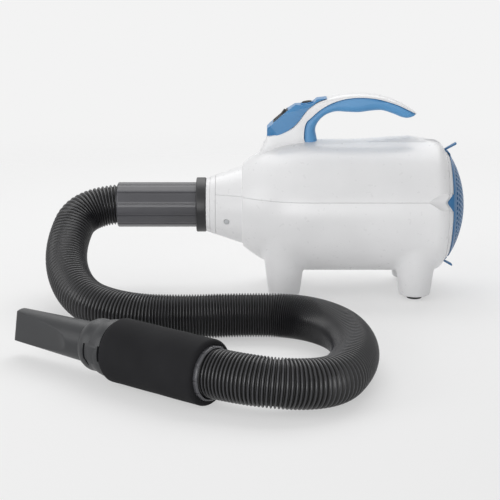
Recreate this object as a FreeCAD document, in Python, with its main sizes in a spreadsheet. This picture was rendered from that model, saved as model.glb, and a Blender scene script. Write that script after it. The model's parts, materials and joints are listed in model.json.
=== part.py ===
import FreeCAD, Part
import math
import os
import re
import Sketcher

V = FreeCAD.Vector
ALONG_X = V(1, 0, 0)
ALONG_Y = V(0, 1, 0)
UPWARD = V(0, 0, 1)

# The dryer is a lying barrel whose axis runs along X, from the outlet at its nose to the blue
# intake cover at its rear. Lengths on it are measured from the nose's front face, heights and
# radii from the barrel's axis. The handpiece has its own axis, measured from the end of its
# foam sleeve where the hose enters. Everything is in millimetres.
SIZES = {
    "places of the dryer and of the handpiece on the table": {
        "axis_height": 112.5,
        "dryer_x": -62.2,
        "dryer_y": 190,
        "wand_x": -46.8,
        "wand_y": -248.4,
        "wand_turn": 142.8,
        "sleeve_radius": 35,
    },
    "shells": {
        "wall": 3,
        "gap": 0.3,
        "barrel_radius": 85,
        "nose_start": 12.4,
        "nose_radius": 38.6,
        "neck_x": 45,
        "neck_radius": 49.5,
        "shoulder_x": 47.5,
        "shoulder_radius": 53.2,
        "shoulder_arc": 125,
        "barrel_start": 130,
        "barrel_end": 290,
        "rear_arc": 17.6,
        "rim_x": 306.5,
        "rim_radius": 73.5,
        "shell_length": 312,
        "mouth_radius": 67,
        "mouth_bore": 62,
        "rear_wall": 6,
        "crest_start": 182,
        "crest_top_x": 260,
        "crest_height": 89.8,
        "crest_end": 293,
        "crest_half_width": 24,
        "crest_flat": 7,
        "scoop_x": 278,
        "scoop_level": 85.2,
        "scoop_radius": 31,
        "scoop_length": 40,
        "scoop_tilt": 72.3,
        "notch_x": 300,
        "notch_floor": 70,
        "notch_side": 11,
        "side_notch_turn": 76,
        "parting_level": 20,
        "lip_thickness": 3.3,
        "lip_length": 14,
        "lip_drop": 8,
        "lip_rise": 16,
        "lip_pitch": 30,
        "lip_first_x": 128,
    },
    "legs and feet": {
        "leg_front_x": 100.5,
        "leg_rear_x": 268,
        "leg_side": 45,
        "leg_foot_radius": 20,
        "leg_top_radius": 26.5,
        "leg_top": -52,
        "leg_edge": 2.5,
        "pad_radius": 9.8,
        "pad_height": 5,
        "pad_recess_radius": 4.4,
        "foot_boss_radius": 4.5,
        "foot_boss_height": 16,
    },
    "fasteners": {
        "screw_radius": 1.75,
        "screw_hole": 1.9,
        "screw_head": 3.3,
        "head_height": 2.2,
        "boss_radius": 5,
        "boss_place": 61,
        "boss_front": 286,
        "boss_rib": 18,
        "shell_screw_length": 12,
        "recess_radius": 3.7,
        "nose_screw_x": 26.7,
        "nose_screw_drop": 13.6,
        "nose_screw_side": 39.4,
        "nose_screw_length": 10,
        "handle_screw_front": 96,
        "handle_screw_rear": 135,
        "handle_screw_length": 14,
        "handle_screw_front_level": 75.5,
        "handle_screw_rear_level": 79.6,
    },
    "handle": {
        "foot_level": 58,
        "frame_width": 28,
        "grip_width": 24,
        "housing_width": 31,
        "foot_x": 66,
        "foot_face_x": 70.9,
        "foot_face_level": 71.8,
        "housing_x": 78.4,
        "housing_level": 91,
        "housing_face": 102,
        "slope_x": 86.6,
        "slope_level": 109.1,
        "slope_top_x": 104.7,
        "slope_top_level": 124.7,
        "shoulder_top_x": 114.3,
        "shoulder_top_level": 131.4,
        "dial_flat_x": 122.3,
        "dial_flat_end_x": 136.5,
        "dial_flat_end_level": 133.6,
        "brow_x": 142,
        "brow_level": 138.8,
        "housing_tip_x": 154.5,
        "housing_tip_level": 139.9,
        "swell_x": 123,
        "swell_level": 117.7,
        "swell_low_arc": 56,
        "swell_high_arc": 50,
        "back_x": 245.5,
        "back_level": 134.6,
        "back_arc": 129,
        "tip_x": 268.9,
        "tip_level": 120,
        "tip_thickness": 2,
        "band": 3.4,
        "band_arc": 107,
        "band_front_x": 148.4,
        "band_front_level": 127.5,
        "band_bend_x": 129.9,
        "band_bend_level": 111.2,
        "column_x": 125.4,
        "column_level": 90,
        "column_back_x": 141.9,
        "palm_x": 140.1,
        "palm_level": 97.5,
        "palm_arc": 27.5,
        "palm_top_x": 164.2,
        "palm_top_level": 122.4,
        "wave_arc": 150,
        "wave_x": 218.3,
        "wave_level": 124.2,
        "finger_x": 249.5,
        "finger_level": 115,
        "finger_end_x": 259.9,
        "finger_end_level": 114,
    },
    "switches and dial": {
        "rocker_length": 19.2,
        "rocker_width": 12.8,
        "rocker_rise": 1.6,
        "rocker_dip": 0.6,
        "rocker_depth": 5,
        "rocker_pivot": 3,
        "rocker_tilt": 8,
        "rocker_pin": 1.2,
        "rocker_pin_reach": 14,
        "switch_x": 95.6,
        "switch_level": 116.9,
        "slope_angle": 40.8,
        "bezel_length": 24,
        "bezel_width": 17.5,
        "bezel_rise": 0.8,
        "well_length": 21.6,
        "well_width": 14.6,
        "well_depth": 15,
        "pocket_length": 20.9,
        "pocket_width": 13.4,
        "pocket_depth": 9,
        "dial_x": 129.3,
        "dial_level": 132.5,
        "dial_lean": -8.8,
        "dial_radius": 6.3,
        "dial_rise": 2.6,
        "dial_edge": 0.8,
        "dial_shaft": 3,
        "dial_shaft_depth": 12,
        "pot_radius": 8,
        "pot_top": 4.5,
        "pot_depth": 13,
    },
    "motor and fan": {
        "shaft_radius": 4,
        "shaft_front": 104,
        "shaft_rear": 249,
        "shaft_play": 0.05,
        "bearing_radius": 11,
        "bearing_width": 7,
        "bearing_front": 110,
        "bearing_rear": 199,
        "frame_front": 108,
        "frame_rear": 209,
        "frame_radius": 46.5,
        "frame_wall": 2.5,
        "bridge_front": 119,
        "bridge_rear": 206,
        "bearing_boss": 14,
        "frame_port": 9,
        "frame_port_place": 30,
        "stator_front": 138,
        "stator_length": 38,
        "stator_radius": 43.8,
        "stator_bore": 26,
        "armature_radius": 25.2,
        "winding_length": 8,
        "winding_inner": 30,
        "winding_outer": 41,
        "armature_winding": 21,
        "commutator_length": 11,
        "commutator_radius": 13,
        "brush_setback": 2,
        "brush_width": 7,
        "brush_height": 6,
        "brush_length": 26,
        "holder_start": 18,
        "holder_wall": 1.7,
        "shroud_front": 206,
        "shroud_rear": 252,
        "shroud_radius": 66,
        "shroud_wall": 1.5,
        "shroud_eye": 24,
        "guide_length": 10,
        "guide_port": 7,
        "guide_port_place": 48,
        "impeller_front": 225,
        "impeller_length": 22,
        "impeller_radius": 60,
        "impeller_plate": 1.6,
        "impeller_hub": 9,
        "mount_front": 212,
        "mount_length": 24,
        "mount_wall": 4,
        "carrier_front": 109,
        "carrier_length": 5,
        "carrier_radius": 79,
        "carrier_bore": 22,
        "carrier_port": 19,
        "carrier_port_place": 48,
    },
    "heater, board and liner": {
        "duct_front": 62,
        "duct_rear": 102,
        "duct_radius": 50,
        "duct_wall": 1.5,
        "duct_flange": 77,
        "card_length": 32,
        "card_width": 92,
        "card_thickness": 1.6,
        "coil_radius": 36,
        "coil_wire": 1.5,
        "coil_pitch": 5,
        "coil_turns": 6,
        "cutout_length": 18,
        "cutout_width": 12,
        "cutout_height": 6,
        "board_x": 122,
        "board_length": 66,
        "board_width": 44,
        "board_level": 58,
        "board_thickness": 1.6,
        "board_inset": 5,
        "post_radius": 3,
        "liner_front": 142,
        "liner_length": 46,
        "liner_thickness": 5,
        "gland_x": 200,
        "gland_angle": 235,
        "gland_radius": 8,
        "gland_bore": 4,
        "gland_nut": 11,
        "gland_reach": 100,
    },
    "intake": {
        "cover_rise": 21,
        "cover_radius": 67,
        "cover_edge": 1.5,
        "cover_wall": 2.5,
        "cover_spigot": 61.5,
        "cover_spigot_length": 7,
        "tab_heel_x": 307.2,
        "tab_heel_radius": 72.7,
        "tab_heel": 1.4,
        "tab_crotch_x": 309.7,
        "tab_crotch_radius": 73.3,
        "tab_tip_x": 321.6,
        "tab_tip_radius": 80.2,
        "tab_tip_half": 1.2,
        "tab_root_half": 2.2,
        "tab_tip_half_width": 3.4,
        "flare_x": 303.9,
        "flare_level": 73.4,
        "flare_floor": 70.4,
        "flare_elbow_x": 309.4,
        "flare_root_half": 1.2,
        "flare_half": 11.3,
        "grid_front": 298.2,
        "grid_length": 3,
        "grid_radius": 66.3,
        "grid_port": 15,
        "grid_port_place": 36,
        "filter_length": 8,
        "filter_radius": 57,
    },
    "outlet, collar and cuff": {
        "ring_bore": 29.2,
        "ring_front_radius": 34.7,
        "ring_line": 5.2,
        "ring_line_depth": 0.6,
        "ring_spigot": 35.2,
        "ring_rear": 26,
        "ring_tail_bore": 26,
        "lock_start": 3.5,
        "lock_end": 9.5,
        "lock_radius": 32.4,
        "lug_angle": 40,
        "lug_slot_angle": 48,
        "lug_radius": 32,
        "collar_length": 12.7,
        "collar_radius": 35.3,
        "collar_edge": 1.6,
        "collar_bore": 25,
        "collar_tail": 28.8,
        "cuff_length": 115,
        "cuff_radius": 29.2,
        "cuff_edge": 1,
        "cuff_flutes": 12,
        "flute_width": 1.6,
        "flute_depth": 1,
        "cuff_tail": 24.6,
        "cuff_tail_rear": 24,
        "cuff_bore": 22.5,
        "socket_depth": 47,
        "socket_radius": 26.3,
        "hose_radius": 26,
        "hose_root": 23.2,
        "hose_bore": 21.5,
        "hose_ribs": 200,
        "hose_lead": 46,
    },
    "handpiece": {
        "sleeve_length": 121,
        "sleeve_bore": 29.4,
        "sleeve_edge": 4,
        "wand_cuff_front": 6,
        "wand_socket": 40,
        "wand_wall_x": 46,
        "wand_bore": 23.5,
        "coupling_x": 125,
        "coupling_start": 112,
        "coupling_radius": 31,
        "coupling_waist_x": 143,
        "coupling_waist": 28.4,
        "coupling_lip_x": 157.5,
        "coupling_lip": 26.6,
        "coupling_end": 161,
        "coupling_mouth": 24.4,
        "coupling_bore": 22.7,
        "coupling_tail": 23.3,
        "coupling_tail_bore": 21,
        "coupling_seat": 131,
        "pin_track_start": 142,
        "pin_track_end": 149,
        "pin_track_radius": 25.4,
        "pin_x": 145.5,
        "pin_radius": 2.6,
        "pin_reach": 25.1,
        "window_x": 150,
        "window_width": 3,
        "window_low": -14,
        "window_height": 18,
        "nozzle_spigot": 22.4,
        "nozzle_wall": 2.2,
        "nozzle_tip_radius": 19,
        "nozzle_end": 276,
        "flat_x": 182,
        "mouth_half": 6.6,
        "seal_x": 135,
        "seal_length": 3,
        "seal_depth": 1,
    },
}

DOC = FreeCAD.newDocument("pet_dryer")
SHEET = DOC.addObject("Spreadsheet::Sheet", "Sizes")
NODES = {}


def fill_sheet():
    row = 1
    for heading, cells in SIZES.items():
        SHEET.set("A%d" % row, heading)
        row += 1
        for alias, value in cells.items():
            SHEET.set("A%d" % row, alias.replace("_", " "))
            SHEET.set("B%d" % row, str(value))
            SHEET.setAlias("B%d" % row, alias)
            row += 1
    DOC.recompute()


ALIASES = {alias for cells in SIZES.values() for alias in cells}


def on_sheet(formula):
    """A formula written with bare aliases, as the document's expressions want it."""
    return re.sub(r"[a-z_]+", lambda word: "Sizes." + word[0] if word[0] in ALIASES else word[0], formula)


def size(formula):
    """The number that a formula on the sheet gives."""
    return float(SHEET.evalExpression(on_sheet(formula)))


def bind(thing, **formulas):
    for name, formula in formulas.items():
        thing.setExpression(name, on_sheet(formula))
    return thing


def place(thing, x="0", y="0", z="0", axis=UPWARD, angle="0"):
    thing.Placement = FreeCAD.Placement(V(0, 0, 0), FreeCAD.Rotation(axis, 10))
    bind(thing, **{
        "Placement.Base.x": x,
        "Placement.Base.y": y,
        "Placement.Base.z": z,
        "Placement.Rotation.Angle": angle,
    })
    return thing


def keep(thing, name, where="dryer"):
    """Name a finished piece and stand it in its place on the table."""
    thing.Label = name
    if where == "dryer":
        place(thing, "dryer_x", "dryer_y", "axis_height")
    else:
        place(thing, "wand_x", "wand_y", "sleeve_radius", UPWARD, "wand_turn")
    NODES[name] = thing
    return thing


def plane_of(body, role):
    return [feature for feature in body.Origin.OriginFeatures if feature.Role == role][0]


def arc_between(start, end, radius):
    """The arc from start to end; a positive radius keeps its centre on the left of the way."""
    middle = (start + end) * 0.5
    half = (end - start).Length / 2
    left = V(start.y - end.y, end.x - start.x, 0).normalize()
    reach = math.sqrt(max(radius * radius - half * half, 0))
    centre = middle + left * math.copysign(reach, radius)
    first, last = (start, end) if radius > 0 else (end, start)
    turn = [math.atan2(point.y - centre.y, point.x - centre.x) for point in (first, last)]
    if turn[1] < turn[0]:
        turn[1] += 2 * math.pi
    circle = Part.Circle(centre, UPWARD, abs(radius))
    return Part.ArcOfCircle(circle, turn[0], turn[1])


def outline(body, role, corners):
    """A closed sketch through corners "along, away" or "along, away, arc to the next"."""
    sketch = body.newObject("Sketcher::SketchObject", body.Name + "_outline")
    sketch.AttachmentSupport = [(plane_of(body, role), "")]
    sketch.MapMode = "FlatFace"
    cells = [[cell.strip() for cell in corner.split(",")] for corner in corners]
    points = [V(size(cell[0]), size(cell[1]), 0) for cell in cells]
    starts, ends = [], []
    for index, cell in enumerate(cells):
        here, there = points[index], points[(index + 1) % len(points)]
        if len(cell) == 3:
            radius = size(cell[2])
            sketch.addGeometry(arc_between(here, there, radius), False)
            starts.append(1 if radius > 0 else 2)
            ends.append(2 if radius > 0 else 1)
        else:
            sketch.addGeometry(Part.LineSegment(here, there), False)
            starts.append(1)
            ends.append(2)
    for index, cell in enumerate(cells):
        following = (index + 1) % len(cells)
        sketch.addConstraint(
            Sketcher.Constraint("Coincident", index, ends[index], following, starts[following]))
        for kind, value, formula in (("DistanceX", points[index].x, cell[0]),
                                     ("DistanceY", points[index].y, cell[1])):
            number = sketch.addConstraint(
                Sketcher.Constraint(kind, -1, 1, index, starts[index], value))
            bind(sketch, **{"Constraints[%d]" % number: formula})
        if len(cell) == 3:
            number = sketch.addConstraint(
                Sketcher.Constraint("Radius", index, abs(size(cell[2]))))
            bind(sketch, **{"Constraints[%d]" % number: "abs(%s)" % cell[2]})
    return sketch


def turned(name, corners, angle="360", below=False, upright=False):
    """A piece turned about the X axis, or upright about the Z axis."""
    body = DOC.addObject("PartDesign::Body", name)
    sketch = outline(body, "XZ_Plane" if upright else "XY_Plane", corners)
    turn = body.newObject("PartDesign::Revolution", name + "_turn")
    turn.Profile = sketch
    turn.ReferenceAxis = (sketch, ["V_Axis" if upright else "H_Axis"])
    turn.Reversed = below
    bind(turn, Angle=angle)
    return body


def padded(name, corners, width, role="XZ_Plane"):
    """A flat outline given a width, half of it on each side of its plane."""
    body = DOC.addObject("PartDesign::Body", name)
    pad = body.newObject("PartDesign::Pad", name + "_pad")
    pad.Profile = outline(body, role, corners)
    pad.SideType = "Symmetric"
    bind(pad, Length=width)
    return body


def block(name, length, width, height, x="0", y="0", z="0", axis=UPWARD, angle="0"):
    """A box whose placement is its middle in width; x and z are its low corners."""
    box = DOC.addObject("Part::Box", name)
    bind(box, Length=length, Width=width, Height=height)
    return place(box, x, y, z, axis, angle)


def rod(name, radius, length, x="0", y="0", z="0", axis=UPWARD, angle="0"):
    cylinder = DOC.addObject("Part::Cylinder", name)
    bind(cylinder, Radius=radius, Height=length)
    return place(cylinder, x, y, z, axis, angle)


def copy_of(thing, name, x="0", y="0", z="0", axis=UPWARD, angle="0"):
    """A linked copy of a shape, put somewhere else."""
    link = DOC.addObject("App::Link", name)
    link.LinkedObject = thing
    link.LinkTransform = True
    return place(link, x, y, z, axis, angle)


def joined(name, *things):
    fuse = DOC.addObject("Part::MultiFuse", name)
    fuse.Shapes = list(things)
    return fuse


def grouped(name, *things):
    group = DOC.addObject("Part::Compound", name)
    group.Links = list(things)
    return group


def cut(name, base, *tools):
    result = DOC.addObject("Part::Cut", name)
    result.Base = base
    result.Tool = tools[0] if len(tools) == 1 else joined(name + "_tools", *tools)
    return result


def common(name, first, second):
    result = DOC.addObject("Part::Common", name)
    result.Base = first
    result.Tool = second
    return result


def four_ways(name, tool):
    """A tool at the top of the barrel and its copies at the bottom and a little above each side."""
    turns = ("180", "side_notch_turn", "-side_notch_turn")
    return [tool] + [copy_of(tool, "%s_%d" % (name, number), axis=ALONG_X, angle=turn)
                     for number, turn in enumerate(turns)]


def shell_outside(name, angle="360", below=False):
    return turned(name, [
        "nose_start, 0",
        "nose_start, nose_radius",
        "neck_x, neck_radius",
        "shoulder_x, shoulder_radius, -shoulder_arc",
        "barrel_start, barrel_radius",
        "barrel_end, barrel_radius, -rear_arc",
        "rim_x, rim_radius",
        "shell_length, mouth_radius",
        "shell_length, 0",
    ], angle, below)


def shell_inside(name):
    return turned(name, [
        "nose_start - gap, 0",
        "nose_start - gap, nose_radius - wall",
        "neck_x + wall / 2, neck_radius - wall",
        "shoulder_x + wall * 0.7, shoulder_radius - wall / 2, wall - shoulder_arc",
        "barrel_start, barrel_radius - wall",
        "barrel_end - rear_wall, barrel_radius - wall",
        "barrel_end + rear_wall, barrel_radius - rear_wall * 1.5",
        "rim_x - wall * 2, mouth_radius",
        "shell_length - wall, mouth_bore",
        "shell_length + gap, mouth_bore",
        "shell_length + gap, 0",
    ])


def leg(name, inset, foot, top):
    """A tapered round leg, standing upright under the barrel."""
    return turned(name, [
        "0, %s" % foot,
        "leg_foot_radius - leg_edge - %s / 2, %s, leg_edge" % (inset, foot),
        "leg_foot_radius - %s, %s + leg_edge" % (inset, foot),
        "leg_top_radius - %s, %s" % (inset, top),
        "0, %s" % top,
    ], upright=True)


LEG_PLACES = [(x, side) for x in ("leg_front_x", "leg_rear_x") for side in ("leg_side", "-leg_side")]
UPPER_BOSSES = (45, -45)
LOWER_BOSSES = (135, -135)


def rear_bosses(name, turns):
    """Screw posts along the barrel behind the grid, each with a rib to the wall, and their holes."""
    posts, sockets = [], []
    for turn in turns:
        number = turn % 360
        post = rod("%s_boss_%d" % (name, number), "boss_radius", "grid_front - boss_front", "boss_front",
                   "0", "boss_place", ALONG_Y, "90")
        rib = block("%s_rib_%d" % (name, number), "grid_front - boss_front", "wall", "boss_rib",
                    "boss_front", "-wall / 2", "boss_place")
        hole = rod("%s_socket_%d" % (name, number), "screw_radius", "shell_screw_length",
                   "grid_front - shell_screw_length + grid_length", "0", "boss_place", ALONG_Y, "90")
        posts.append(copy_of(joined("%s_post_%d" % (name, number), post, rib),
                             "%s_turned_post_%d" % (name, number), axis=ALONG_X, angle=str(turn)))
        sockets.append(copy_of(hole, "%s_turned_socket_%d" % (name, number), axis=ALONG_X, angle=str(turn)))
    return posts, sockets


def make_shells():
    outside = shell_outside("shell_outside")
    inside = shell_inside("shell_inside")
    scoop = DOC.addObject("Part::Cone", "rim_scoop")
    bind(scoop, Radius1="0", Radius2="scoop_radius", Height="scoop_length")
    place(scoop, "scoop_x", "0", "scoop_level", ALONG_Y, "scoop_tilt")
    notch = padded("rim_notch_form", [
        "notch_x, 0",
        "rim_x, -notch_side",
        "shell_length + wall, -notch_side",
        "shell_length + wall, notch_side",
        "rim_x, notch_side",
    ], "barrel_radius - notch_floor", "XY_Plane")
    place(notch, "0", "0", "(barrel_radius + notch_floor) / 2")
    notches = four_ways("rim_notch", joined("rim_hollow", scoop, notch))

    crest_side = padded("crest_side", [
        "crest_start, barrel_radius - wall / 2",
        "crest_start, barrel_radius - 2 * wall",
        "crest_end, barrel_radius - 2 * wall",
        "crest_end, barrel_radius - wall / 2",
        "crest_top_x, crest_height",
    ], "crest_half_width * 2")
    crest_end = padded("crest_roof", [
        "-crest_half_width, barrel_radius - 3 * wall",
        "crest_half_width, barrel_radius - 3 * wall",
        "crest_flat, crest_height + gap",
        "-crest_flat, crest_height + gap",
    ], "shell_length * 2", "YZ_Plane")
    crest = common("crest", crest_side, crest_end)

    upper = joined("upper_outside", shell_outside("upper_half"), crest)
    upper_holes = [inside, *notches]
    for number, x in enumerate(("handle_screw_front", "handle_screw_rear")):
        upper_holes.append(rod("handle_screw_hole_%d" % number, "screw_hole", "handle_screw_length * 2",
                               x, "0", "foot_level"))
    upper_wall = cut("upper_wall", upper, *upper_holes)
    posts, sockets = rear_bosses("upper", UPPER_BOSSES)
    seam_half = "sqrt((barrel_radius - wall)^2 - parting_level^2)"
    for number in range(3):
        for side, start in (("near", "gap * 2 - " + seam_half),
                            ("far", seam_half + " - gap * 2 - lip_thickness")):
            posts.append(block("lip_%s_%d" % (side, number), "lip_length", "lip_thickness",
                               "lip_drop + lip_rise", "lip_first_x + lip_pitch * %d" % number, start,
                               "parting_level - lip_drop"))
    for number, (x, side) in enumerate((x, side) for x in ("board_x + board_inset",
                                                          "board_x + board_length - board_inset")
                                       for side in ("board_width / 2 - board_inset",
                                                    "board_inset - board_width / 2")):
        posts.append(rod("board_post_%d" % number, "post_radius",
                         "barrel_radius - board_level - wall - board_thickness - gap",
                         x, side, "board_level + board_thickness"))
    upper_solid = cut("upper_solid", joined("upper_with_bosses", upper_wall, *posts), *sockets)
    half = block("upper_side", "shell_length * 2", "barrel_radius * 4", "barrel_radius * 2",
                 "-shell_length / 2", "-barrel_radius * 2", "parting_level")
    keep(common("upper_shell_solid", upper_solid, half), "upper_shell")

    legs = [leg("leg", "0", "pad_height - axis_height", "leg_top")]
    hollows = [leg("leg_hollow", "wall", "pad_height + wall - axis_height", "leg_top + wall")]
    first_x, first_side = LEG_PLACES[0]
    place(legs[0], first_x, first_side)
    place(hollows[0], first_x, first_side)
    for number, (x, side) in enumerate(LEG_PLACES[1:]):
        away = (x + " - leg_front_x", side + " - leg_side")
        legs.append(copy_of(legs[0], "leg_%d" % number, *away))
        hollows.append(copy_of(hollows[0], "leg_hollow_%d" % number, *away))
    lower = joined("lower_outside", shell_outside("lower_half"), *legs)
    lower_holes = [inside, *hollows, *notches]
    lower_wall = cut("lower_wall", lower, *lower_holes)
    posts, sockets = rear_bosses("lower", LOWER_BOSSES)
    for number, (x, side) in enumerate(LEG_PLACES):
        posts.append(rod("foot_boss_%d" % number, "foot_boss_radius", "foot_boss_height", x, side,
                         "pad_height + gap - axis_height"))
        sockets.append(rod("foot_hole_%d" % number, "screw_radius", "foot_boss_height * 2", x, side,
                           "-axis_height"))
    for number, turn in enumerate(("90", "-90")):
        sockets.append(rod("nose_screw_hole_%d" % number, "recess_radius", "nose_radius * 2",
                           "nose_screw_x", "0", "-nose_screw_drop", ALONG_X, turn))
    sockets.append(gland_rod("gland_hole", "gland_radius", "barrel_radius - 3 * wall", "gland_reach"))
    lower_solid = cut("lower_solid", joined("lower_with_bosses", lower_wall, *posts), *sockets)
    half = block("lower_side", "shell_length * 2", "barrel_radius * 4", "barrel_radius * 2",
                 "-shell_length / 2", "-barrel_radius * 2", "parting_level - barrel_radius * 2")
    keep(common("lower_shell_solid", lower_solid, half), "lower_shell")


def gland_rod(name, radius, start, end):
    """A rod out of the barrel's far side, square to the wall, between two distances from the axis."""
    shaft = rod(name, radius, "%s - (%s)" % (end, start), "gland_x",
                "-(%s) * sin(gland_angle)" % start, "(%s) * cos(gland_angle)" % start, ALONG_X, "gland_angle")
    return shaft


def make_feet():
    pad = turned("foot_pad", [
        "screw_hole, pad_height - axis_height",
        "screw_hole, pad_height / 2 - axis_height",
        "pad_recess_radius, pad_height / 2 - axis_height",
        "pad_recess_radius, -axis_height",
        "pad_radius - gap, -axis_height",
        "pad_radius, pad_height - axis_height",
    ], upright=True)
    screw = turned("foot_screw", [
        "0, pad_height / 2 - head_height - axis_height",
        "screw_head, pad_height / 2 - head_height - axis_height",
        "screw_head, pad_height / 2 - axis_height",
        "screw_radius, pad_height / 2 - axis_height",
        "screw_radius, foot_boss_height - axis_height",
        "0, foot_boss_height - axis_height",
    ], upright=True)
    for thing, name in ((pad, "foot_pads"), (screw, "foot_screws")):
        copies = [copy_of(thing, "%s_%d" % (name, number), x, side)
                  for number, (x, side) in enumerate(LEG_PLACES)]
        keep(grouped(name + "_group", *copies), name)


def screw_along(name, length):
    """A screw on the Z axis: the top of its shank is length above the underside of its head."""
    return turned(name, [
        "0, -head_height",
        "screw_head, -head_height",
        "screw_head, 0",
        "screw_radius, 0",
        "screw_radius, %s" % length,
        "0, %s" % length,
    ], upright=True)


def make_fasteners():
    shell_screw = screw_along("shell_screw", "shell_screw_length")
    place(shell_screw, "grid_front + grid_length", "0", "boss_place", ALONG_Y, "-90")
    copies = [copy_of(grouped("shell_screw_place_%d" % number, shell_screw), "shell_screw_%d" % number,
                      axis=ALONG_X, angle=str(turn))
              for number, turn in enumerate(UPPER_BOSSES + LOWER_BOSSES)]
    keep(grouped("shell_screw_group", *copies), "shell_screws")
    nose_screw = screw_along("nose_screw", "nose_screw_length")
    copies = [copy_of(nose_screw, "nose_screw_%d" % number, "nose_screw_x",
                      side, "-nose_screw_drop", ALONG_X, turn)
              for number, (side, turn) in enumerate((("-nose_screw_side", "-90"), ("nose_screw_side", "90")))]
    keep(grouped("nose_screw_group", *copies), "nose_screws")
    handle_screw = screw_along("handle_screw", "handle_screw_length")
    copies = [copy_of(handle_screw, "handle_screw_%d" % number, x, "0", level)
              for number, (x, level) in enumerate((("handle_screw_front", "handle_screw_front_level"),
                                                   ("handle_screw_rear", "handle_screw_rear_level")))]
    keep(grouped("handle_screw_group", *copies), "handle_screws")


FRAME_EDGE = [
    "foot_x, foot_level",
    "foot_face_x, foot_face_level",
    "housing_x, housing_level, swell_low_arc",
    "swell_x, swell_level, -swell_high_arc",
    "housing_tip_x, housing_tip_level, -back_arc",
    "back_x, back_level",
    "tip_x, tip_level",
    "tip_x, tip_level - tip_thickness",
    "back_x, back_level - band, band_arc",
    "band_front_x, band_front_level",
    "band_bend_x, band_bend_level",
    "column_x, column_level",
    "column_x, foot_level",
]
GRIP_EDGE = [
    "column_x, foot_level",
    "column_x, column_level",
    "band_bend_x, band_bend_level",
    "band_front_x, band_front_level, -band_arc",
    "back_x, back_level - band",
    "tip_x - tip_thickness / 2, tip_level - tip_thickness * 1.5",
    "finger_end_x, finger_end_level",
    "finger_x, finger_level",
    "wave_x, wave_level, -wave_arc",
    "palm_top_x, palm_top_level, palm_arc",
    "palm_x, palm_level",
    "column_back_x, column_level",
    "column_back_x, foot_level",
]
HOUSING_EDGE = [
    "housing_x, housing_level",
    "housing_x, housing_face",
    "slope_x, slope_level",
    "slope_top_x, slope_top_level",
    "shoulder_top_x, shoulder_top_level",
    "dial_flat_x, shoulder_top_level",
    "dial_flat_end_x, dial_flat_end_level",
    "brow_x, brow_level",
    "housing_tip_x, housing_tip_level, swell_high_arc",
    "swell_x, swell_level, -swell_low_arc",
]
HOUSING_CAVITY = [
    "housing_x + wall, housing_level + wall * 1.5",
    "housing_x + wall, housing_face - wall / 2",
    "slope_x + wall / 2, slope_level - wall",
    "slope_top_x + wall / 2, slope_top_level - wall",
    "shoulder_top_x + wall / 3, shoulder_top_level - wall",
    "dial_flat_x + wall, shoulder_top_level - wall",
    "swell_x - wall, swell_level + wall",
    "housing_x + swell_x / 4, housing_level + wall * 3",
]


def slope_block(name, length, width, low, high):
    """A box on the switch slope between two heights off it, centred on the slope's middle."""
    box = DOC.addObject("Part::Box", name)
    bind(box, Length=length, Width=width, Height="%s - (%s)" % (high, low))
    along, off = "-(%s) / 2" % length, low
    return place(box,
                 "switch_x + (%s) * cos(slope_angle) - (%s) * sin(slope_angle)" % (along, off),
                 "-(%s) / 2" % width,
                 "switch_level + (%s) * sin(slope_angle) + (%s) * cos(slope_angle)" % (along, off),
                 ALONG_Y, "-slope_angle")


def on_dial(thing, drop="0"):
    """Put an upright piece on the dial's leaning axis, a distance under the housing's face."""
    return place(thing, "dial_x - (%s) * sin(dial_lean)" % drop, "0",
                 "dial_level - (%s) * cos(dial_lean)" % drop, ALONG_Y, "dial_lean")


def make_handle():
    saddle = shell_outside("handle_saddle")
    seat = rod("pot_seat", "pot_radius + gap", "pot_depth + gap")
    on_dial(seat, "pot_depth + gap")
    bores = [rod("handle_screw_bore_%d" % number, "screw_radius", "handle_screw_length",
                 "handle_screw_" + place, "0", "handle_screw_%s_level" % place)
             for number, place in enumerate(("front", "rear"))]
    frame = cut("handle_frame_solid", padded("handle_frame_form", FRAME_EDGE, "frame_width"),
                saddle, seat, bores[0])
    keep(frame, "handle_frame")
    grip = cut("handle_grip_solid", padded("handle_grip_form", GRIP_EDGE, "grip_width"), saddle, bores[1])
    keep(grip, "handle_grip")
    cavity = padded("housing_cavity", HOUSING_CAVITY, "housing_width - 2 * wall")
    window = slope_block("switch_window", "well_length + gap", "well_width + gap", "-well_depth / 2", "wall")
    shaft_hole = rod("dial_shaft_hole", "dial_shaft + gap", "pot_depth + wall")
    on_dial(shaft_hole, "pot_depth")
    housing = cut("switch_housing_solid", padded("switch_housing_form", HOUSING_EDGE, "housing_width"),
                  cavity, window, shaft_hole, seat)
    keep(housing, "switch_housing")


def on_pivot(thing, angle):
    """Put a piece at the middle of the rocker's pivot, turned about the pivot's own direction."""
    return place(thing, "switch_x + rocker_pivot * sin(slope_angle)", "0",
                 "switch_level - rocker_pivot * cos(slope_angle)", ALONG_Y, angle)


def pivot_rod(name, radius, length):
    """A rod across the rocker, through its pivot."""
    return rod(name, radius, length, "switch_x + rocker_pivot * sin(slope_angle)", "(%s) / 2" % length,
               "switch_level - rocker_pivot * cos(slope_angle)", ALONG_X, "90")


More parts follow.
